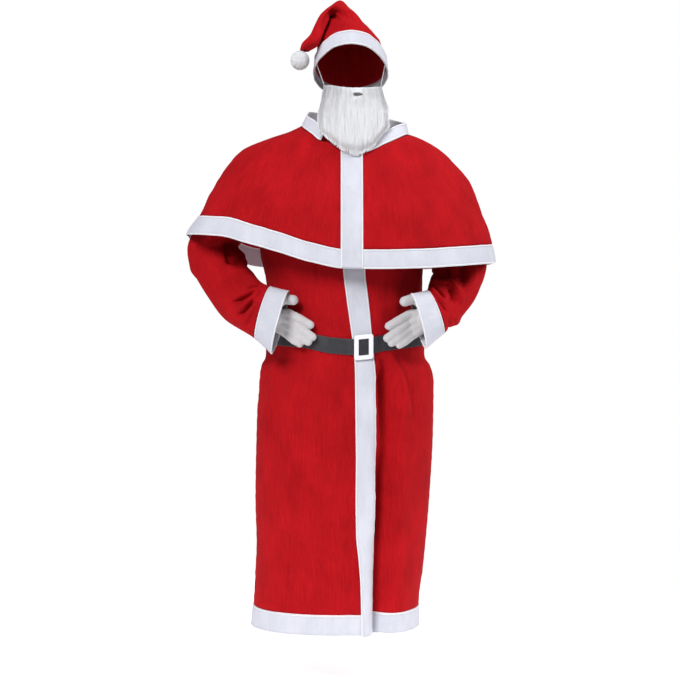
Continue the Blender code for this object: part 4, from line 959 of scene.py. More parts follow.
def sleeve_skin(side, stations, round_arm):
    """The sleeve's inner skin as a grid: rows are stations down the arm, columns go round it."""
    rings = [armhole_point(side, round_arm)]
    rings += [sleeve_ring(side, k, round_arm) for k in range(1, CUFF_END + 1)]
    knots = np.arange(len(rings))
    points = smooth(stations, knots, np.array(rings))
    middles = smooth(stations, knots[1:], np.array(SLEEVES[side])[:, :3])
    station, turned = stations[:, None], np.degrees(round_arm)[None]
    pushed = 0.0
    for where, angle, depth, length, width in SLEEVE_FOLDS:
        aside = half_circle(turned - angle)
        pushed = pushed + depth * np.exp(-(((station - where) / length) ** 2) - (aside / width) ** 2)
    pushed = pushed * soft_step((CUFF_START - station) / FOLD_FADE)
    creased = crease_depth(SLEEVE_CREASES[side], round_arm[None], station, ARM_TURN_SIZE, ARM_STATION_SIZE)
    pushed = pushed + creased * soft_step((CUFF_START - station) / CREASE_FADE)
    pushed = pushed * soft_step(station / ARMHOLE_FADE)
    return points + unit(points - middles[:, None]) * pushed[..., None]


def tube_mesh(name, side, inner, out, seed, edge=None):
    """The wall of a tube round one arm, whose outer face stands off its inner one."""
    mirrored = side == "right"
    outer = inner + grid_normals(inner, ring=True) * (-1 if mirrored else 1) * np.asarray(out)[..., None]
    if mirrored:
        inner, outer = inner[:, ::-1], outer[:, ::-1]
    return shell_mesh(name, inner, outer, ring=True, grain=grid_grain(outer, seed), edge=edge)


# Width and length of the flat piece, and the share of them that the cut fills
SLEEVE_CUTS, SLEEVE_SHARE = {"left": (0.50, 0.55), "right": (0.46, 0.53)}, 0.8
round_arm = np.linspace(0, 2 * math.pi, ARM_COLUMNS + 1)[:-1]
for seed, (side, (width, length)) in enumerate(SLEEVE_CUTS.items()):
    upper, lower = np.linspace(0, ELBOW, UPPER_ARM_ROWS), np.linspace(ELBOW, CUFF_START, LOWER_ARM_ROWS)
    stations = np.concatenate([upper, lower[1:]])
    mesh = tube_mesh("sleeve_" + side, side, sleeve_skin(side, stations, round_arm), FELT, 17.0 + seed)
    sleeve = add_piece(f"sleeve_{side}_cloth", mesh, red_felt, "sleeve_" + side)

    start = CUFF_START + CUFF_GAPS[side]
    fine = sleeve_skin(side, np.linspace(start, CUFF_END, CUFF_RUN_ROWS), round_arm)
    run = np.concatenate([[0], np.cumsum(np.linalg.norm(np.diff(fine, axis=0), axis=-1).mean(axis=1))])
    cuff_width = run[-1]
    across = strip_rows(cuff_width)
    stations = np.interp(across, run, np.linspace(start, CUFF_END, CUFF_RUN_ROWS))
    wave = cockle(round_arm[None] * CUFF_RADIUS, across[:, None], 4.0 + seed, CUFF_WAVE)
    wave = wave * soft_step(across / CUFF_CALM)[:, None]
    out = strip_out(across, cuff_width)[:, None] + np.maximum(wave, -CUFF_SINK)
    edge = from_edge(across, cuff_width)[:, None]
    mesh = tube_mesh("cuff_" + side, side, sleeve_skin(side, stations, round_arm), out, 19.0 + seed, edge)
    cuff = add_piece(f"cuff_{side}_strip", mesh, white_felt, "cuff_" + side)

# ---------------------------------------------------------------- cape
# A short round cape in two fronts and a back, of the same red felt, worn over the robe and the
# upper arms. A white band is sewn round its lower edge, a placket down its front opening.

CAPE_HEM_WIDTH = 0.049
CAPE_PLACKET_X = 0.0168
CAPE = table(
    "height middle left right front back square",
    (0.050, 0.016, 0.106, 0.108, 0.094, 0.096, 2.0),
    (0.030, 0.015, 0.124, 0.122, 0.103, 0.106, 2.0),
    (0.006, 0.010, 0.164, 0.146, 0.118, 0.122, 2.1),
    (-0.010, 0.004, 0.206, 0.196, 0.127, 0.131, 2.2),
    (-0.040, 0.000, 0.272, 0.252, 0.140, 0.144, 2.3),
    (-0.075, 0.000, 0.305, 0.288, 0.154, 0.158, 2.4),
    (-0.125, 0.000, 0.338, 0.329, 0.172, 0.172, 2.5),
    (-0.167, 0.000, 0.359, 0.346, 0.187, 0.180, 2.6),
    (-0.205, 0.000, 0.378, 0.359, 0.200, 0.187, 2.6),
    (-0.262, 0.000, 0.416, 0.377, 0.216, 0.194, 2.6),
    (-0.334, 0.000, 0.430, 0.395, 0.230, 0.202, 2.6),
    (-0.380, 0.000, 0.437, 0.404, 0.236, 0.206, 2.6),
)
CAPE_EDGE = table(
    "turn height",
    (-180, -0.346), (-150, -0.343), (-126, -0.333), (-108, -0.292), (-90, -0.2624),
    (-63, -0.2746), (-49, -0.2996), (-35, -0.323), (-21, -0.344), (0, -0.361), (20, -0.362),
    (40, -0.3596), (56, -0.3526), (75, -0.341), (90, -0.334), (120, -0.340), (180, -0.346),
)
CAPE_FOLDS = (
    # turn at top, turn at bottom, top, bottom, depth, width in turn
    (-60, -54, -0.040, -0.480, -0.005, 9.0),
    (-24, -27, -0.120, -0.600, 0.004, 9.0),
    (40, 37, -0.120, -0.600, 0.004, 10.0),
    (66, 60, -0.040, -0.480, -0.005, 9.0),
    (116, 122, -0.040, -0.600, -0.009, 8.0),
    (152, 148, -0.030, -0.700, -0.008, 8.0),
    (-178, -175, -0.040, -0.700, 0.006, 9.0),
    (-148, -146, -0.030, -0.700, -0.008, 8.0),
    (-114, -120, -0.040, -0.600, -0.008, 8.0),
)
CAPE_CREASES = (
    # turn, height, turn, height, depth, width, lean
    (-76, -0.120, -62, -0.240, -0.0035, 0.0117, 0.5),
    (-66, -0.090, -48, -0.200, 0.0029, 0.0126, 0.6),
    (-84, -0.150, -72, -0.215, 0.0032, 0.009, 0.3),
    (-38, -0.160, -34, -0.320, -0.0029, 0.0117, 0.5),
    (-55, -0.200, -52, -0.330, 0.0045, 0.009, 0.5),
    (-46, -0.210, -44, -0.330, -0.0038, 0.0081, 0.3),
    (-14, -0.120, -16, -0.330, 0.0019, 0.0126, 0.5),
    (-70, -0.036, -50, -0.075, -0.0026, 0.009, 0.4),
    (58, -0.040, 44, -0.110, -0.0026, 0.0099, 0.4),
    (24, -0.140, 25, -0.340, -0.0022, 0.0126, 0.5),
    (34, -0.170, 30, -0.300, 0.0019, 0.0126, 0.5),
    (52, -0.190, 50, -0.360, -0.0032, 0.0099, 0.4),
    (60, -0.130, 66, -0.340, 0.0032, 0.0117, 0.5),
    (76, -0.110, 74, -0.260, -0.0038, 0.0117, 0.5),
    (84, -0.220, 82, -0.340, 0.0035, 0.0099, 0.4),
    (104, -0.090, 108, -0.250, -0.0042, 0.0117, 0.5),
    (134, -0.120, 134, -0.340, 0.0048, 0.0117, 0.5),
    (165, -0.080, 163, -0.250, -0.0038, 0.0108, 0.4),
    (-164, -0.110, -163, -0.330, 0.0045, 0.0117, 0.5),
    (-132, -0.100, -133, -0.300, 0.0042, 0.0117, 0.5),
    (-101, -0.080, -105, -0.220, -0.0042, 0.0108, 0.5),
    (-96, -0.160, -98, -0.270, 0.0035, 0.009, 0.4),
    (-69, -0.225, -64, -0.196, -0.0018, 0.0045, 0.4),
    (-61, -0.232, -55, -0.205, 0.0016, 0.0045, 0.4),
    (-54, -0.243, -49, -0.222, -0.0020, 0.0040, 0.4),
    (-47, -0.252, -41, -0.224, 0.0018, 0.0045, 0.4),
    (-40, -0.266, -36, -0.232, -0.0018, 0.0045, 0.4),
    (-31, -0.279, -27, -0.256, 0.0014, 0.0040, 0.4),
    (-17, -0.300, -15, -0.268, -0.0014, 0.0045, 0.4),
    (29, -0.309, 33, -0.276, -0.0016, 0.0045, 0.4),
    (41, -0.308, 44, -0.284, 0.0014, 0.0040, 0.4),
    (58, -0.300, 62, -0.262, -0.0018, 0.0050, 0.4),
    (71, -0.292, 76, -0.262, 0.0016, 0.0045, 0.4),
    (-27, -0.098, -12, -0.150, -0.0014, 0.0060, 0.5),
    (22, -0.112, 44, -0.086, 0.0016, 0.0110, 0.6),
    (47, -0.130, 62, -0.196, -0.0016, 0.0140, 0.7),
)
CAPE_TURN_SIZE = 0.0046
CAPE_BACK_COLUMNS, CAPE_FRONT_COLUMNS, UNDER_CAPE_PLACKET = 116, 64, (-1.0, -0.5)
# Rows near the neckline, where the cape curves over the shoulder, and below it
CAPE_BEND, CAPE_UPPER_ROWS, CAPE_LOWER_ROWS, CAPE_PLACKET_ROWS = 0.3, 19, 34, 54
CAPE_DROP, CAPE_RADIUS = 0.26, 0.3
CAPE_CUTS = {
    # width, length, area of the flat piece
    "front_left": (0.52, 0.33, 0.128), "front_right": (0.50, 0.35, 0.130), "back": (1.00, 0.38, 0.284),
}
cape_skin = body_skin(CAPE, CAPE_FOLDS, CAPE_CREASES, CAPE_TURN_SIZE)


def cape_height(turn, share):
    """Height on the cape at a share of the way from its neckline to the hem band."""
    neck = around(CAPE_NECK, turn)
    return neck + share * (around(CAPE_EDGE, turn) + CAPE_HEM_WIDTH - neck)


def cape_hem_height(turn, down):
    """Height on the hem band, a distance below its upper edge."""
    return around(CAPE_EDGE, turn) + CAPE_HEM_WIDTH - SEAM - down * (1 - SEAM / CAPE_HEM_WIDTH)


def cape_placket_turns(height, offset):
    """Turn of a line that runs down the cape's placket, offset metres from its middle."""
    middle, front = (smooth(height, CAPE["height"], CAPE[name]) for name in ("middle", "front"))
    return np.arctan2(CAPE_PLACKET_X + offset - middle, front)


def cape_turns(part, centre_height):
    """Turns across one panel of the cape, or across its piece of the hem band."""
    if part == "back":
        return back_turns(0.0, CAPE_BACK_COLUMNS)
    side = 1 if part == "front_right" else -1
    start = cape_placket_turns(centre_height, 0.0) + side * SEAM / 2 / FRONT_REACH
    edge = cape_placket_turns(centre_height, side * PLACKET_WIDTH / 2)
    seam = side * (math.pi / 2 - SIDE_SEAM / SIDE_REACH)
    shares = np.concatenate([UNDER_CAPE_PLACKET, np.linspace(0.0, 1.0, CAPE_FRONT_COLUMNS)])
    return np.sort(np.where(shares < 0, edge + (edge - start) * shares, edge + (seam - edge) * shares))


# Where the placket's middle meets the hem band
CAPE_PLACKET_TURN = cape_placket_turns(-0.34, 0.0)
shares = np.concatenate([
    np.linspace(0, CAPE_BEND, CAPE_UPPER_ROWS), np.linspace(CAPE_BEND, 1.0, CAPE_LOWER_ROWS)[1:],
])
across = strip_rows(CAPE_HEM_WIDTH)
for seed, (part, (width, length, area)) in enumerate(CAPE_CUTS.items()):
    turns = np.array([cape_turns(part, cape_height(0.0, share)) for share in shares])
    heights = cape_height(turns, shares[:, None])
    dip = seam_dip(turns, heights) - band_dip((shares[:, None] - 1) * CAPE_DROP)
    panel = cut_panel("cape_" + part, cape_skin, turns, heights, dip, 23.0 + seed)

    turns = np.array([cape_turns(part, cape_hem_height(0.0, down)) for down in across])
    heights = cape_hem_height(turns, across[:, None])
    clear = soft_step((np.abs(turns - CAPE_PLACKET_TURN) - CAPE_PLACKET_COVER) / COVER_FADE)
    wave = cockle(turns * CAPE_RADIUS, heights, 6.1 + seed, BAND_WAVE)
    hem = sew_band(
        "cape_hem_" + part, cape_skin, turns, heights, across, CAPE_HEM_WIDTH, wave, clear, 27.0 + seed
    )

CAPE_PLACKET_CREASES = (
    # height, distance across, height, distance across, depth, half-width
    (-0.120, 0.010, -0.180, 0.040, 0.0009, 0.008),
    (-0.230, 0.046, -0.290, 0.020, 0.0010, 0.008),
    (-0.316, 0.004, -0.318, 0.052, 0.0012, 0.0035),
)
across = strip_rows(PLACKET_WIDTH)
top, bottom = cape_height(0.0, 0.0), cape_hem_height(0.0, CAPE_HEM_WIDTH)
middle_heights = np.linspace(top, bottom, CAPE_PLACKET_ROWS)
turns = cape_placket_turns(middle_heights[:, None], across - PLACKET_WIDTH / 2)
shares = (middle_heights - top) / (bottom - top)
heights = around(CAPE_NECK, turns) + shares[:, None] * (
    cape_hem_height(turns, CAPE_HEM_WIDTH) - around(CAPE_NECK, turns)
)
wave = cockle(heights, across, 8.0) + line_creases(CAPE_PLACKET_CREASES, heights, across)
placket = sew_placket("cape_placket", cape_skin, turns, heights, TRIM + SEAM, wave, 31.0)

# ---------------------------------------------------------------- collar
# A low stand collar of white felt, sewn round the cape's neckline and open in front, where the
# beard hangs over the gap. It leans in towards the neck, more on the wearer's right.

COLLAR_HEIGHT, COLLAR_COLUMNS = 0.030, 130
COLLAR_ENDS = (math.radians(-25), math.radians(18.4))
COLLAR_SEAT, COLLAR_RADIUS, COLLAR_WAVE = 0.001, 0.12, 0.0006
# How far the collar's upper edge leans in towards the neck
COLLAR_LEAN = table(
    "turn lean",
    (-180, 0.008), (-90, 0.012), (-60, 0.016), (-42, 0.025), (-25, 0.025), (18, 0.013), (32, 0.017),
    (46, 0.019), (62, 0.011), (90, 0.004), (180, 0.008),
)
HEAD_MIDDLE = (0.0155, 0.000)
left_end, right_end = COLLAR_ENDS
across = strip_rows(COLLAR_HEIGHT)
turns = np.linspace(right_end, 2 * math.pi + left_end, COLLAR_COLUMNS)
foot = outward(cape_skin, turns, around(CAPE_NECK, turns) + COLLAR_SEAT, np.full_like(turns, FELT + SEAM))
inwards = unit(np.stack([HEAD_MIDDLE[0] - foot[:, 0], -foot[:, 1], 0 * turns], -1))
lean = around(COLLAR_LEAN, turns, "lean")
rise = (1 - across / COLLAR_HEIGHT)[:, None, None]
inner = foot + np.array((0, 0, COLLAR_HEIGHT)) * rise + (inwards * lean[:, None]) * rise
wave = np.maximum(cockle(turns * COLLAR_RADIUS, across[:, None], 9.4, COLLAR_WAVE), -BAND_SINK)
out = strip_out(across, COLLAR_HEIGHT)[:, None] + wave
outer = inner + grid_normals(inner) * out[..., None]
edge = from_edge(across, COLLAR_HEIGHT)[:, None]
mesh = shell_mesh("cape_collar", inner, outer, grain=grid_grain(outer, 33.0), edge=edge)
collar = add_piece("cape_collar_strip", mesh, white_felt, "cape_collar")

# ---------------------------------------------------------------- belt and buckle
# A soft black imitation-leather strip with turned edges, drawn in over the robe and its placket
# and closed by a plain moulded white plastic slide buckle.

BELT_WIDTH, BELT_THICKNESS = 0.041, 0.0022
BELT_MIDDLE = -0.555
BELT_LEAD, BELT_RAMP = math.radians(1.6), math.radians(4)
BELT_COLUMNS, BELT_EDGE, BELT_EDGE_START, BELT_CROWN = 240, 0.0011, 0.0002, 0.0005
# The belt lies tight on the robe to this far in turn from the placket's middle, and is a little
# slack in two uneven waves elsewhere
BELT_TIGHT, BELT_SLACK = 0.25, (0.0006, 0.0004)
BUCKLE_WIDTH, BUCKLE_HEIGHT, BUCKLE_THICKNESS, BUCKLE_CORNER = 0.049, 0.063, 0.004, 0.006
WINDOW_WIDTH, WINDOW_HEIGHT, WINDOW_CORNER = 0.026, 0.041, 0.002
BUCKLE_EDGE, CORNER_STEPS = 0.0009, 8
BELT_LINE = table(
    "turn height",
    (-180, -0.530), (-90, -0.528), (-35, -0.537), (-12, -0.5515), (12, -0.5565), (32, -0.545),
    (90, -0.530), (180, -0.530),
)


def belt_out(turn, height):
    """How far the belt stands off the robe's skin: further where it crosses the placket."""
    left = robe_placket_turns(height, -PLACKET_WIDTH / 2)
    right = robe_placket_turns(height, PLACKET_WIDTH / 2)
    rise = soft_step((turn - left + BELT_LEAD) / BELT_RAMP + 1)
    over = rise * soft_step((right + BELT_LEAD - turn) / BELT_RAMP + 1)
    return FELT + 2 * SEAM + over * (2 * TRIM + PLACKET_GAP + ROLL_HEIGHT - FELT)


def belt_point(turn, share, out):
    """A point off the belt's inner skin; share 0 is its lower edge."""
    height = around(BELT_LINE, turn) + BELT_WIDTH * (share - 0.5)
    return outward(robe_skin, turn, height, belt_out(turn, height) + out)


vinyl = Finish("black_vinyl", 0.42, {"Specular IOR Level": 0.5})
grain = vinyl.attribute("grain")
pebble = vinyl.node("TexVoronoi", None, {"Vector": vinyl.scaled(grain, (700, 700, 700)), "Scale": 1.0})
rub = vinyl.noise(grain, (34, 60, 9), 3.0, 0.6)
vinyl.feed("Base Color", vinyl.blend(rub, (0.016, 0.016, 0.020), (0.036, 0.036, 0.043)))
vinyl.feed("Roughness", 0.34 + rub * 0.22)
edge = vinyl.attribute("edge", "Fac")
groove = vinyl.ramp(edge / EDGE_SPAN, (0.24, 0.0), (0.30, 1.0), (0.36, 0.0))
vinyl.feed("Normal", vinyl.bump(groove * -1.0, 0.0004, vinyl.bump(pebble, 0.00018)))

across = strip_rows(BELT_WIDTH)
turns = np.linspace(-math.pi, math.pi, BELT_COLUMNS + 1)[:-1]
slack = BELT_SLACK[0] * np.sin(turns * 21 + 1.0) + BELT_SLACK[1] * np.sin(turns * 47)
slack = np.maximum(slack, 0) * (np.abs(turns - robe_placket_turns(BELT_MIDDLE, 0.0)) > BELT_TIGHT)
edge = from_edge(across, BELT_WIDTH)
rounded = rounded_edge(edge, BELT_EDGE)
crown = BELT_CROWN * np.sin(math.pi * across / BELT_WIDTH)
wall = BELT_EDGE_START + (BELT_THICKNESS - BELT_EDGE_START) * rounded[:, None] + crown[:, None]
share = (1 - across / BELT_WIDTH)[:, None]
inner = belt_point(turns[None], share, slack[None])
outer = belt_point(turns[None], share, wall + slack[None])
mesh = shell_mesh("belt", inner, outer, ring=True, grain=grid_grain(outer, 37.0), edge=edge[:, None])
belt = add_piece("belt_strap", mesh, vinyl, "belt")


def rounded_rectangle(spline, width, height, radius):
    """Turns an empty spline into a closed rectangle with round corners."""
    points = []
    for quarter in range(4):
        x_sign = 1 if quarter in (0, 3) else -1
        y_sign = 1 if quarter in (0, 1) else -1
        centre = (x_sign * (width / 2 - radius), y_sign * (height / 2 - radius))
        for step in range(CORNER_STEPS + 1):
            angle = math.pi / 2 * (quarter + step / CORNER_STEPS)
            points.append((centre[0] + radius * math.cos(angle), centre[1] + radius * math.sin(angle)))
    spline.points.add(len(points) - 1)
    for target, (x, y) in zip(spline.points, points):
        target.co = (x, y, 0, 1)
    spline.use_cyclic_u = True


plastic = Finish("white_plastic", 0.3, {"Specular IOR Level": 0.5, "Coat Weight": 0.15})
place = plastic.node("TexCoord", output="Object")
cloudy = plastic.noise(place, (90, 90, 90))
plastic.feed("Base Color", plastic.blend(cloudy, (0.80, 0.81, 0.86), (0.88, 0.88, 0.92)))
plastic.feed("Roughness", 0.26 + plastic.noise(place, (260, 260, 260), 3.0) * 0.16)
plastic.feed("Normal", plastic.bump(plastic.noise(place, (900, 900, 900), 2.0), 0.00008))

outline = bpy.data.curves.new("buckle_outline", "CURVE")
outline.dimensions, outline.fill_mode = "2D", "BOTH"
outline.extrude = BUCKLE_THICKNESS / 2 - BUCKLE_EDGE
outline.bevel_depth, outline.bevel_resolution = BUCKLE_EDGE, 3
for width, height, grow, corner in (
    (BUCKLE_WIDTH, BUCKLE_HEIGHT, -2 * BUCKLE_EDGE, BUCKLE_CORNER),
    (WINDOW_WIDTH, WINDOW_HEIGHT, 2 * BUCKLE_EDGE, WINDOW_CORNER),
):
    rounded_rectangle(outline.splines.new("POLY"), width + grow, height + grow, corner)
drawn = bpy.data.objects.new("buckle_outline", outline)
bpy.context.scene.collection.objects.link(drawn)
bpy.context.view_layer.update()
mesh = bpy.data.meshes.new_from_object(drawn.evaluated_get(bpy.context.evaluated_depsgraph_get()))
bpy.data.objects.remove(drawn)
low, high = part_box("buckle")
placket_edges = robe_placket_turns(BELT_MIDDLE, np.array((-1, 1)) * PLACKET_WIDTH / 2)
left_end, right_end = belt_point(placket_edges, 0.5, BELT_THICKNESS)
along = unit(right_end - left_end)
flat = unit(np.array((along[1], -along[0], 0.0)))
middle = (np.array(low) + np.array(high)) / 2
turned = Matrix((along, (0, 0, 1), flat)).transposed()
mesh.transform(Matrix.Translation(Vector(middle)) @ turned.to_4x4())
add_piece("buckle_frame", mesh, plastic, "buckle")

# ---------------------------------------------------------------- hat
# A peaked cap of red felt whose tip folds over to one side, sewn into a turned band of white
# felt. Its pompom is a tight ball of short plush, sewn to the end of the tail.

BAND_HALF_WIDTH, BAND_DEPTH = 0.0965, 0.108
BAND_WIDTH, BAND_WALL = 0.037, 0.0030
BAND_TUCK, HEAD_RADIUS = 0.004, 0.1
BAND_COLUMNS, CROWN_COLUMNS, CROWN_ROWS, CROWN_LEAD_ROWS = 180, 128, 104, 12
# Metres of cloth from one of the crown's rings to the next, and how high its slight ripples are
RING_SIZE, CROWN_RIPPLE = 0.030, 0.0005
# The crown's lowest rows lie inside the band, at these shares of its width
CROWN_TUCK = (0.6, 0.8, 1.0)
BAND_EDGE = table(
    "turn height",
    (-180, 0.124), (-130, 0.138), (-90, 0.166), (-50, 0.198), (-20, 0.219), (0, 0.2225),
    (20, 0.219), (50, 0.198), (90, 0.163), (130, 0.138), (180, 0.124),
)
CROWN = (
    # inner x, inner z, outer x, outer z, middle y, half-depth
    (-0.070, 0.262, 0.0915, 0.256, 0.014, 0.094),
    (-0.052, 0.292, 0.0720, 0.279, 0.013, 0.078),
    (-0.045, 0.305, 0.0500, 0.301, 0.010, 0.062),
    (-0.042, 0.311, 0.0330, 0.324, 0.006, 0.050),
    (-0.041, 0.314, 0.0125, 0.341, 0.000, 0.042),
    (-0.0405, 0.315, -0.0110, 0.357, -0.008, 0.037),
    (-0.0410, 0.313, -0.0350, 0.339, -0.018, 0.033),
    (-0.0440, 0.304, -0.0640, 0.311, -0.030, 0.031),
    (-0.0520, 0.281, -0.0790, 0.282, -0.044, 0.029),
    (-0.0600, 0.257, -0.0905, 0.256, -0.052, 0.028),
    (-0.0680, 0.234, -0.1120, 0.232, -0.056, 0.025),
    (-0.0960, 0.2158, -0.1170, 0.2176, -0.056, 0.010),
)
CROWN_CREASES = (
    # turn, ring, turn, ring, depth, width, lean
    (-20, 1.6, -78, 4.4, -0.0120, 0.0085, 0.7),
    (16, 1.2, -40, 4.9, -0.0050, 0.0072, 0.5),
    (46, 0.8, 18, 4.2, 0.0029, 0.009, 0.4),
    (70, 1.8, 60, 4.6, -0.0029, 0.0081, 0.5),
    (-34, 5.0, -52, 9.0, -0.0090, 0.0085, 0.6),
    (34, 5.2, 30, 10.2, 0.0025, 0.0072, 0.4),
    (-70, 6.6, -60, 10.0, 0.0025, 0.0072, 0.4),
    (120, 1.0, 150, 4.6, -0.0054, 0.009, 0.5),
    (-120, 1.2, -150, 5.0, 0.0047, 0.009, 0.5),
    (175, 2.0, 168, 8.5, -0.0040, 0.0081, 0.4),
)


def band_point(turn, share, out):
    """A point of the hat band's inner skin; share 0 is its lower edge."""
    across, ahead = np.sin(turn), np.cos(turn)
    tuck = BAND_TUCK * share
    return np.stack(np.broadcast_arrays(
        HEAD_MIDDLE[0] + (BAND_HALF_WIDTH - tuck + out) * across,
        HEAD_MIDDLE[1] - (BAND_DEPTH - tuck + out) * ahead,
        around(BAND_EDGE, turn) + BAND_WIDTH * share,
    ), -1)


turns = np.linspace(-math.pi, math.pi, BAND_COLUMNS + 1)[:-1]
across = strip_rows(BAND_WIDTH)
wave = np.maximum(cockle(turns * HEAD_RADIUS, across[:, None], 12.6, BAND_WAVE), -BAND_SINK)
share = (1 - across / BAND_WIDTH)[:, None]
inner = band_point(turns, share, wave)
out = strip_out(across, BAND_WIDTH, BAND_WALL)[:, None] + wave
plain = band_point(turns, share, np.zeros_like(out))
outer = plain + grid_normals(plain, ring=True) * out[..., None]
edge = from_edge(across, BAND_WIDTH)[:, None]
mesh = shell_mesh("hat_band", inner, outer, ring=True, grain=grid_grain(outer, 41.0), edge=edge)
band = add_piece("hat_band_strip", mesh, white_felt, "hat_band")

rings = np.array(CROWN)
turns = np.linspace(-math.pi, math.pi, CROWN_COLUMNS + 1)[:-1]
inside = np.stack([band_point(turns, share, -FELT - 2 * SEAM) for share in CROWN_TUCK])
levels = np.linspace(0, len(CROWN) - 1, CROWN_ROWS)
x0, z0, x1, z1, middle_y, half_depth = (
    smooth(levels, np.arange(len(CROWN)), rings[:, column])[:, None] for column in range(6)
)
across, ahead = np.sin(turns), np.cos(turns)
upper = np.stack(np.broadcast_arrays(
    (x0 + x1) / 2 + (x1 - x0) / 2 * across,
    middle_y - half_depth * ahead,
    (z0 + z1) / 2 + (z1 - z0) / 2 * across,
), -1)
first = inside[-1]
rise = np.linspace(0, 1, CROWN_LEAD_ROWS)[1:-1, None, None]
between = first + (upper[0] - first) * rise
inner = np.concatenate([inside, between, upper])[::-1]
levels = np.concatenate([np.full(len(inside) + len(between), -0.5), levels])[::-1]
normals = grid_normals(inner, ring=True)
size = np.linalg.norm(np.diff(inner, axis=1), axis=-1).mean(1)[:, None] / (turns[1] - turns[0])
depth = crease_depth(CROWN_CREASES, turns, levels[:, None], size * math.pi / 180, RING_SIZE)
ripple = np.sin(3 * turns + levels[:, None] * 1.7) * soft_step(levels[:, None] + 0.5)
depth = depth + CROWN_RIPPLE * ripple
inner = inner + normals * depth[..., None]
outer = inner + normals * FELT
mesh = shell_mesh("hat_crown", inner, outer, ring=True, grain=grid_grain(outer, 43.0))
crown = add_piece("hat_crown_cloth", mesh, red_felt, "hat_crown")

# ---------------------------------------------------------------- pompom
# A tight ball of short white plush on a round wad of fibre, gathered and sewn to the end of the
# hat's tail. Its tufts lean together in clumps, with painted shade in the gaps between them, at
# their roots and on the core.

POMPOM_MIDDLE, POMPOM_RADIUS = (-0.1175, -0.056, 0.1915), 0.0255
POMPOM_CORE = 0.0222
TUFTS, TUFT_STEPS, TUFT_WIDTH, CLUMPS = 14000, 3, 0.0006, 420
# The tufts start a little inside the core, and the core swells under each clump
TUFT_ROOT, CLUMP_SWELL = 0.96, 0.0012
# Cosine of the turn from a clump's middle to where it ends
CLUMP_END = 0.985
# How unevenly clumps, roots and tips are spread, how far tufts lean to their clump, and how far
# out they end, as shares of the radius
CLUMP_SPREAD, ROOT_SPREAD, TIP_SPREAD = 0.05, 0.02, 0.13
TUFT_LEAN, TUFT_REACH, TUFT_UNEVEN, CLUMP_RISE = (0.2, 0.75), 0.955, (-0.03, 0.02), 0.035


def narrow_blades(path, wide):
    """Flat blades of fibre along paths, whose first axis is the steps: their points and faces."""
    points = np.stack([path - wide, path + wide], 2)
    number = np.arange(points.size // 3).reshape(points.shape[:3])
    corners = (number[:-1, :, 0], number[:-1, :, 1], number[1:, :, 1], number[1:, :, 0])
    return points.reshape(-1, 3), np.stack(corners, -1).reshape(-1, 4)


def ball_directions(count):
    """Directions spread evenly over a ball."""
    k = np.arange(count) + 0.5
    rise, turn = 1 - 2 * k / count, k * math.pi * (3 - math.sqrt(5))
    flat = np.sqrt(1 - rise ** 2)
    return np.stack([flat * np.cos(turn), flat * np.sin(turn), rise], -1)


def clump_closeness(directions):
    """0 between the clumps of tufts, rising to 1 at the middle of each."""
    return np.clip(((directions @ clumps.T).max(1) - CLUMP_END) / (1 - CLUMP_END), 0, 1)


chance = np.random.default_rng(7)
clumps = unit(ball_directions(CLUMPS) + chance.normal(0, CLUMP_SPREAD, (CLUMPS, 3)))
roots = unit(ball_directions(TUFTS) + chance.normal(0, ROOT_SPREAD, (TUFTS, 3)))
nearest = (roots @ clumps.T).argmax(1)
lean = chance.uniform(*TUFT_LEAN, (TUFTS, 1))
tips = unit(roots + (clumps[nearest] - roots) * lean + chance.normal(0, TIP_SPREAD, (TUFTS, 3)))
closeness = clump_closeness(roots)
reach = POMPOM_RADIUS * (TUFT_REACH + CLUMP_RISE * closeness + chance.uniform(*TUFT_UNEVEN, TUFTS))
step = np.linspace(0, 1, TUFT_STEPS + 1)[:, None, None]
path = unit(roots + (tips - roots) * step ** 1.5)
path = path * (POMPOM_CORE * TUFT_ROOT + (reach[:, None] - POMPOM_CORE * TUFT_ROOT) * step)
twist = unit(np.cross(roots, tips))
wide = twist * TUFT_WIDTH / 2 * (1 - 0.7 * step ** 2)
blades, faces = narrow_blades(path, wide)

ball = bmesh.new()
bmesh.ops.create_icosphere(ball, subdivisions=5, radius=1)
core = np.array([vertex.co for vertex in ball.verts])
core_faces = np.array([[vertex.index for vertex in face.verts] for face in ball.faces])
ball.free()
swell = clump_closeness(core)
core = core * (POMPOM_CORE + CLUMP_SWELL * swell)[:, None]
points = np.concatenate([core, blades]) + POMPOM_MIDDLE
mesh = bpy.data.meshes.new("pompom")
mesh.from_pydata(points.tolist(), [], core_faces.tolist() + (faces + len(core)).tolist())
mesh.shade_smooth()
# Painted shade: tufts greyer in the gaps between clumps and darker towards their roots, over their own random
# tone
tuft_tone_and_shade = np.clip(chance.normal(0.62, 0.16, TUFTS) + 0.25 * (closeness - 0.5), 0, 1)
tuft_tone_and_shade = tuft_tone_and_shade * (0.45 + 0.55 * step[..., 0])
# The core gets a low tone: painted shade where it shows between the tufts
store(mesh, "tone", "FLOAT", np.concatenate([0.2 * swell, np.repeat(tuft_tone_and_shade, 2)]))
plush = Finish("white_plush", 0.6, {"Sheen Weight": 0.3, "Sheen Roughness": 0.5, "Specular IOR Level": 0.3})
# The tone attribute carries painted shade as well as the plush's own random tone
plush.feed("Base Color", plush.blend(plush.attribute("tone", "Fac"), (0.80, 0.81, 0.84), (0.99, 0.99, 1.0)))
pompom = add_piece("pompom_plush", mesh, plush, "pompom")

# ---------------------------------------------------------------- beard
# A false beard of long straight synthetic pile on a thin knitted backing, slit at the mouth.
# A white elastic, stitched to its upper corners, goes up under the hat band and round behind.

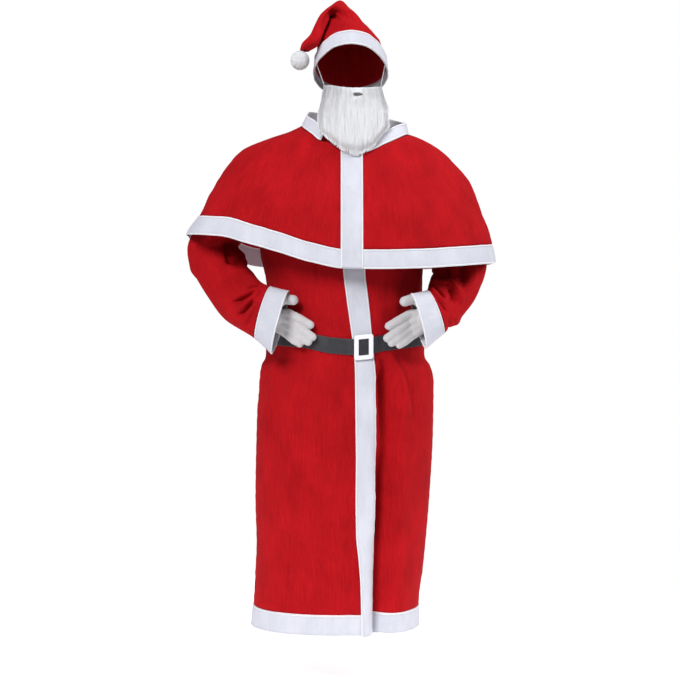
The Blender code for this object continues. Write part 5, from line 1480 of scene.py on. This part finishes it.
MOUTH_WIDTH, MOUTH_HEIGHT = 0.029, 0.011
MOUTH_MIDDLE = (0.0325, -0.125, 0.0915)
BEARD_PILE, BEARD_BACKING = 0.016, 0.003
LOCK_HEIGHT = 0.0016
BEARD = table(
    "height front curl half_width middle",
    (0.125, -0.0978, 0.085, 0.078, 0.0205),
    (0.095, -0.1038, 0.078, 0.084, 0.0215),
    (0.060, -0.1128, 0.050, 0.090, 0.0215),
    (0.040, -0.1208, 0.026, 0.091, 0.0215),
    (0.000, -0.1378, 0.020, 0.090, 0.0230),
    (-0.070, -0.1598, 0.014, 0.086, 0.0230),
)
BEARD_TOP = table(
    "across height",
    (-1.0, 0.134), (-0.7, 0.124), (-0.3, 0.113), (0.0, 0.110), (0.4, 0.113), (0.75, 0.121),
    (1.0, 0.130),
)
BEARD_BOTTOM = table(
    "across height",
    (-1.0, 0.000), (-0.8, -0.018), (-0.5, -0.043), (-0.2, -0.060), (0.05, -0.066),
    (0.3, -0.058), (0.55, -0.044), (0.8, -0.012), (1.0, 0.010),
)
BEARD_COLUMNS, BEARD_ROWS = 121, 84
# The plain form's first and last row, in shares of the beard's height
FORM_DOWN = (0.004, 0.985)
# The share of the pile's depth that the plain form fills and the strands start from
PILE_START = 0.97
# The pile thins over these shares: towards the sides, and towards the tip
BEARD_THINNING = (0.18, 0.12)
MOUTH_CUT_DEPTH = 0.12
# The small step that the beard's slope is measured over, in shares of its half-width and height
BEARD_STEP = 0.004
STRANDS, STRAND_STEPS = 15000, 6
STRAND_WIDTH = 0.00055
# How far the pile goes to either side, the shares down the beard that strands start from, how far
# they run on from there, and how far they may pass its tip and its sides
PILE_ACROSS, STRANDS_DOWN, STRAND_REACH = (-0.99, 0.99), (0.0, 0.93), (0.12, 0.32)
PAST_TIP, PAST_SIDE = (-0.01, 0.045), 1.04
# Strands gather in wisps, which sway and bend as a whole; each wanders a little on its own, and
# the wisps and strands lift off the pile
WISPS_ACROSS, WISPS_DOWN = 54, 7
WISP_GATHER, WISP_SWAY, WISP_BEND, STRAND_WANDER, BEARD_SWAY = (0.2, 0.9), 0.030, 0.018, 0.007, 0.012
STRAND_LIFT, WISP_LIFT = (0.0003, 0.0022), 0.0007


def lock_rise(across, share):
    """Locks of the pile: -1 to 1, uneven in width and swaying on their way down."""
    return (
        0.45 * np.sin(17 * across + 1.9 * np.sin(4.1 * share + 0.6))
        + 0.35 * np.sin(31 * across - 1.7 * np.sin(3.3 * share + 1.9) + 1.1)
        + 0.20 * np.sin(7 * across + 6 * share)
    )


def beard_point(across, share, pile):
    """A point of the beard: across is -1 to 1, share runs from its top edge to its tip."""
    across, share, pile = np.broadcast_arrays(across, share, pile)
    top = smooth(across, BEARD_TOP["across"], BEARD_TOP["height"])
    bottom = smooth(across, BEARD_BOTTOM["across"], BEARD_BOTTOM["height"])
    height = top + (bottom - top) * share
    row = {name: smooth(height, BEARD["height"], BEARD[name]) for name in BEARD}
    lock = lock_rise(across, share)
    side_thin, tip_thin = BEARD_THINNING
    edge = np.minimum(np.minimum(1.0, (1 - np.abs(across)) / side_thin), (1 - share) / tip_thin)
    thickness = BEARD_BACKING + (BEARD_PILE - BEARD_BACKING + LOCK_HEIGHT * lock) * soft_step(edge)
    return np.stack([
        row["middle"] + row["half_width"] * across,
        row["front"] + row["curl"] * across * across - thickness * pile,
        height,
    ], -1)


def oval_rod(name, place, width, height, depth):
    """A closed oval rod along Y, to cut a slit with."""
    shape = bmesh.new()
    bmesh.ops.create_cone(
        shape, cap_ends=True, segments=48, radius1=width / 2, radius2=width / 2, depth=depth
    )
    bmesh.ops.rotate(shape, cent=(0, 0, 0), matrix=Matrix.Rotation(math.pi / 2, 3, "X"), verts=shape.verts)
    bmesh.ops.scale(shape, vec=(1, 1, height / width), verts=shape.verts)
    mesh = bpy.data.meshes.new(name)
    shape.to_mesh(mesh)
    shape.free()
    rod = bpy.data.objects.new(name, mesh)
    rod.location = place
    bpy.context.scene.collection.objects.link(rod)
    return rod


def baked(thing):
    """The mesh of an object once its modifiers are applied; the object goes."""
    bpy.context.view_layer.update()
    mesh = bpy.data.meshes.new_from_object(thing.evaluated_get(bpy.context.evaluated_depsgraph_get()))
    bpy.data.objects.remove(thing)
    return mesh


pile = Finish("white_pile", 0.55, {"Sheen Weight": 0.4, "Sheen Roughness": 0.5, "Specular IOR Level": 0.4})
# The tone attribute carries the strands' own random tone and painted shade: darker roots, and a darker form
# under the strands
tone = pile.attribute("tone", "Fac")
grain = pile.attribute("grain")
wisps = pile.noise(grain, (900, 40, 30), 3.0, 0.7)
pile.feed("Base Color", pile.blend(tone * 0.8 + wisps * 0.2, (0.55, 0.56, 0.59), (0.90, 0.90, 0.92)))
pile.feed("Normal", pile.bump(wisps, 0.0008))

across = np.linspace(*PILE_ACROSS, BEARD_COLUMNS)
shares = np.linspace(*FORM_DOWN, BEARD_ROWS)[:, None]
mesh = shell_mesh("beard_form", beard_point(across, shares, 0.0), beard_point(across, shares, PILE_START))
form = bpy.data.objects.new("beard_form", mesh)
bpy.context.scene.collection.objects.link(form)
rod = oval_rod("mouth_cutter", MOUTH_MIDDLE, MOUTH_WIDTH, MOUTH_HEIGHT, MOUTH_CUT_DEPTH)
cut = form.modifiers.new("mouth", "BOOLEAN")
cut.operation, cut.object = "DIFFERENCE", rod
mesh = baked(form)
bpy.data.objects.remove(rod)
mesh.shade_smooth()
points = np.empty(len(mesh.vertices) * 3)
mesh.vertices.foreach_get("co", points)
points = points.reshape(-1, 3)
store(mesh, "grain", "FLOAT_VECTOR", points[:, [0, 2, 1]])
# Painted shade: the form under the strands gets a low, dark tone
store(mesh, "tone", "FLOAT", np.full(len(points), 0.15))
beard = add_piece("beard_backing", mesh, pile, "beard")

chance = np.random.default_rng(24)
root_across = chance.uniform(*PILE_ACROSS, STRANDS)
root_share = chance.uniform(*STRANDS_DOWN, STRANDS) ** 1.05
reach = chance.uniform(*STRAND_REACH, STRANDS)
step = np.linspace(0, 1, STRAND_STEPS + 1)[:, None]
share = np.minimum(root_share + reach * step, 1.0 + chance.uniform(*PAST_TIP, STRANDS) * step)
column, row = (root_across + 1) / 2 * WISPS_ACROSS, root_share * WISPS_DOWN
wisp_count = (WISPS_DOWN + 2) * (WISPS_ACROSS + 2)
wisp = np.floor(row + chance.uniform(0, 1, STRANDS)) * (WISPS_ACROSS + 2) + np.floor(column)
wisp = wisp.astype(int)
wisp_place = np.floor(column) + chance.uniform(0.1, 0.9, wisp_count)[wisp]
wisp_sway, wisp_bend = (chance.normal(0, spread, wisp_count)[wisp] for spread in (WISP_SWAY, WISP_BEND))
gather = chance.uniform(*WISP_GATHER, STRANDS) * step ** 1.3
across = root_across + (wisp_place / WISPS_ACROSS * 2 - 1 - root_across) * gather
across = across + wisp_sway * step + wisp_bend * np.sin(3.4 * step)
across = across + chance.normal(0, STRAND_WANDER, STRANDS) * step
across = across + BEARD_SWAY * (np.sin(9 * share + 3 * across) - np.sin(9 * root_share + 3 * across))
across = np.clip(across, -PAST_SIDE, PAST_SIDE)
least, most = STRAND_LIFT
lift = least + chance.uniform(0, most, STRANDS) * np.sin(math.pi * np.clip(step, 0, 0.85))
lift = lift + np.abs(chance.normal(0, WISP_LIFT, wisp_count))[wisp] * step
path, left, right, above, below = (
    beard_point(across + aside, share + down, PILE_START)
    for aside, down in ((0, 0), (-BEARD_STEP, 0), (BEARD_STEP, 0), (0, -BEARD_STEP), (0, BEARD_STEP))
)
out = unit(np.cross(right - left, below - above))
out = out * -np.sign(out[..., 1:2])
path = path + out * lift[..., None]
along = unit(np.gradient(path, axis=0))
wide = unit(np.cross(along, out)) * STRAND_WIDTH / 2
wide = wide * (1 - 0.75 * step[..., None] ** 3)
# No strand hangs over the mouth
beside = (path[..., 0] - MOUTH_MIDDLE[0]) / (MOUTH_WIDTH / 2)
over = (path[..., 2] - MOUTH_MIDDLE[2]) / (MOUTH_HEIGHT / 2)
kept = (beside ** 2 + over ** 2).min(0) > 1.0
points, faces = narrow_blades(path[:, kept], wide[:, kept])
mesh = bpy.data.meshes.new("beard_pile")
mesh.from_pydata(points.tolist(), [], faces.tolist())
mesh.shade_smooth()
wisp_tone = chance.normal(0.70, 0.13, wisp_count)[wisp][kept]
# Painted shade: each strand darker towards its root, over its wisp's random tone
tones_and_shade = np.clip(wisp_tone + chance.normal(0, 0.12, kept.sum()), 0, 1) * (0.80 + 0.20 * step)
store(mesh, "grain", "FLOAT_VECTOR", points[:, [0, 2, 1]])
store(mesh, "tone", "FLOAT", np.repeat(tones_and_shade, 2))
add_piece("beard_pile", mesh, pile, None)

ELASTIC_WIDTH, ELASTIC_THICKNESS, ELASTIC_ROWS, FREE_ROWS = 0.006, 0.0008, 7, 24
# Where the elastic is sewn, from the beard's corner inwards; and the turn and the share of the
# band's width at which it goes under the hat band, and the share it keeps round behind
ELASTIC_SEWN = (0.005, 0.0008, -0.006)
ELASTIC_TURN, ELASTIC_ENTRY, ELASTIC_LEVEL, ELASTIC_STEP = 72, 0.15, 0.35, 6
elastic = Finish("white_elastic", 0.7, {"Sheen Weight": 0.2})
grain = elastic.attribute("grain")
ribbed = {"Vector": elastic.scaled(grain, (900, 900, 900)), "Scale": 1.0}
rib = elastic.node("TexWave", {"bands_direction": "Y"}, ribbed)
elastic.feed("Base Color", elastic.blend(rib, (0.74, 0.74, 0.77), (0.86, 0.86, 0.88)))
elastic.feed("Normal", elastic.bump(rib, 0.0001))
route = []
for side in (1, -1):
    inside = -ELASTIC_THICKNESS - 2 * SEAM
    corner = beard_point(side, 0.0, 0.0) + np.array((-side, 1, 1)) * ELASTIC_SEWN
    entry = band_point(np.array(side * math.radians(ELASTIC_TURN)), ELASTIC_ENTRY, inside)
    bends = np.radians(np.arange(90, 181 if side > 0 else 180, ELASTIC_STEP)) * side
    route.append(np.concatenate([
        corner + (entry - corner) * np.linspace(0, 1, FREE_ROWS)[:, None],
        band_point(bends, ELASTIC_LEVEL, inside),
    ]))
route = np.concatenate([route[0], route[1][::-1]])
across = np.linspace(0.5, -0.5, ELASTIC_ROWS)[:, None, None] * np.array((0, 0, ELASTIC_WIDTH))
inner = route[None] + across
outer = inner + grid_normals(inner) * ELASTIC_THICKNESS
mesh = shell_mesh("beard_elastic", inner, outer, grain=grid_grain(outer, 47.0))
add_piece("beard_elastic_strip", mesh, elastic, "beard_elastic")

# ---------------------------------------------------------------- gloves
# Plain gloves of fine knitted white cotton, worn on hands that rest on the belt. Each goes up
# into the cuff and is open at the wrist.

GLOVE_WALL = 0.0012
GLOVE_VOXEL, GLOVE_RELAXING = 0.0018, 4
WRIST_CUT = {"left": -0.203, "right": 0.224}
GLOVES = {
    "left": (
        # from x, y, z, radius, to x, y, z, radius
        (-0.205, -0.1497, -0.476, 0.0260, -0.176, -0.1567, -0.484, 0.0240),
        (-0.176, -0.1567, -0.474, 0.0170, -0.140, -0.1597, -0.474, 0.0140),
        (-0.176, -0.1567, -0.484, 0.0180, -0.138, -0.1597, -0.490, 0.0140),
        (-0.176, -0.1567, -0.494, 0.0170, -0.141, -0.1587, -0.508, 0.0130),
        (-0.178, -0.1567, -0.500, 0.0160, -0.147, -0.1567, -0.522, 0.0120),
        (-0.144, -0.1597, -0.471, 0.0125, -0.115, -0.1767, -0.4840, 0.0110),
        (-0.115, -0.1767, -0.4840, 0.0110, -0.0878, -0.1807, -0.5000, 0.0103),
        (-0.142, -0.1597, -0.489, 0.0125, -0.109, -0.1777, -0.5125, 0.0112),
        (-0.109, -0.1777, -0.5125, 0.0112, -0.0824, -0.1817, -0.5305, 0.0105),
        (-0.145, -0.1587, -0.507, 0.0120, -0.114, -0.1757, -0.5285, 0.0115),
        (-0.114, -0.1757, -0.5285, 0.0115, -0.0935, -0.1787, -0.5425, 0.0105),
        (-0.151, -0.1567, -0.520, 0.0115, -0.130, -0.1707, -0.5385, 0.0105),
        (-0.130, -0.1707, -0.5385, 0.0105, -0.1145, -0.1747, -0.5475, 0.0096),
        (-0.184, -0.1577, -0.455, 0.0165, -0.156, -0.1697, -0.4345, 0.0136),
        (-0.156, -0.1697, -0.4345, 0.0136, -0.1305, -0.1777, -0.4375, 0.0128),
    ),
    "right": (
        (0.226, -0.1497, -0.476, 0.0260, 0.198, -0.1567, -0.485, 0.0240),
        (0.198, -0.1567, -0.475, 0.0170, 0.163, -0.1607, -0.475, 0.0140),
        (0.198, -0.1567, -0.485, 0.0180, 0.160, -0.1607, -0.493, 0.0140),
        (0.198, -0.1567, -0.495, 0.0170, 0.162, -0.1597, -0.512, 0.0130),
        (0.200, -0.1567, -0.502, 0.0160, 0.168, -0.1577, -0.527, 0.0120),
        (0.167, -0.1607, -0.472, 0.0125, 0.137, -0.1767, -0.4870, 0.0110),
        (0.137, -0.1767, -0.4870, 0.0110, 0.1095, -0.1817, -0.5030, 0.0103),
        (0.164, -0.1607, -0.491, 0.0125, 0.132, -0.1777, -0.5155, 0.0112),
        (0.132, -0.1777, -0.5155, 0.0112, 0.1055, -0.1827, -0.5335, 0.0105),
        (0.166, -0.1597, -0.510, 0.0120, 0.136, -0.1757, -0.5315, 0.0115),
        (0.136, -0.1757, -0.5315, 0.0115, 0.1165, -0.1787, -0.5450, 0.0105),
        (0.172, -0.1577, -0.524, 0.0115, 0.151, -0.1707, -0.5420, 0.0105),
        (0.151, -0.1707, -0.5420, 0.0105, 0.1365, -0.1747, -0.5505, 0.0096),
        (0.206, -0.1577, -0.455, 0.0165, 0.175, -0.1697, -0.4330, 0.0136),
        (0.175, -0.1697, -0.4330, 0.0136, 0.1495, -0.1777, -0.4410, 0.0128),
    ),
}


def hand_form(bones):
    """The rounded skin over a hand's bones, each of them a ball at either end."""
    shape = bmesh.new()
    for x0, y0, z0, r0, x1, y1, z1, r1 in bones:
        single = bmesh.new()
        for radius, *centre in ((r0, x0, y0, z0), (r1, x1, y1, z1)):
            placed = Matrix.Translation(centre)
            bmesh.ops.create_icosphere(single, subdivisions=3, radius=radius, matrix=placed)
        points = [vertex.co.copy() for vertex in single.verts]
        single.clear()
        for point in points:
            single.verts.new(point)
        hull = bmesh.ops.convex_hull(single, input=single.verts[:])
        inside = [part for part in hull["geom_interior"] if isinstance(part, bmesh.types.BMVert)]
        bmesh.ops.delete(single, geom=inside, context="VERTS")
        bone = bpy.data.meshes.new("bone")
        single.to_mesh(bone)
        single.free()
        shape.from_mesh(bone)
        bpy.data.meshes.remove(bone)
    mesh = bpy.data.meshes.new("hand_form")
    shape.to_mesh(mesh)
    shape.free()
    form = bpy.data.objects.new("hand_form", mesh)
    bpy.context.scene.collection.objects.link(form)
    remesh = form.modifiers.new("skin", "REMESH")
    remesh.mode, remesh.voxel_size = "VOXEL", GLOVE_VOXEL
    relax = form.modifiers.new("relax", "SMOOTH")
    relax.iterations, relax.factor = GLOVE_RELAXING, 0.5
    return baked(form)


knit = Finish("white_cotton", 0.85, {"Sheen Weight": 0.2, "Sheen Roughness": 0.4})
place = knit.node("TexCoord", output="Object")
loops = knit.node("TexVoronoi", None, {"Vector": knit.scaled(place, (1500, 1500, 1100)), "Scale": 1.0})
soil = knit.noise(place, (60, 60, 60), 3.0, 0.6)
knit.feed("Base Color", knit.blend(soil, (0.50, 0.485, 0.50), (0.60, 0.585, 0.60)))
crimp = knit.noise(place, (220, 220, 160), 3.0, 0.6)
knit.feed("Normal", knit.bump(loops, 0.00022, knit.bump(crimp, 0.0006)))

for side, bones in GLOVES.items():
    mesh = hand_form(bones)
    skin = bmesh.new()
    skin.from_mesh(mesh)
    sign = 1 if side == "right" else -1
    bmesh.ops.bisect_plane(
        skin, geom=skin.verts[:] + skin.edges[:] + skin.faces[:], dist=0.00001,
        plane_co=(WRIST_CUT[side], 0, 0), plane_no=(sign, 0, 0), clear_outer=True,
    )
    skin.to_mesh(mesh)
    skin.free()
    form = bpy.data.objects.new("glove_form", mesh)
    bpy.context.scene.collection.objects.link(form)
    wall = form.modifiers.new("wall", "SOLIDIFY")
    wall.thickness, wall.offset = GLOVE_WALL, -1.0
    mesh = baked(form)
    mesh.shade_smooth()
    glove = add_piece(f"glove_{side}_knit", mesh, knit, f"glove_{side}")
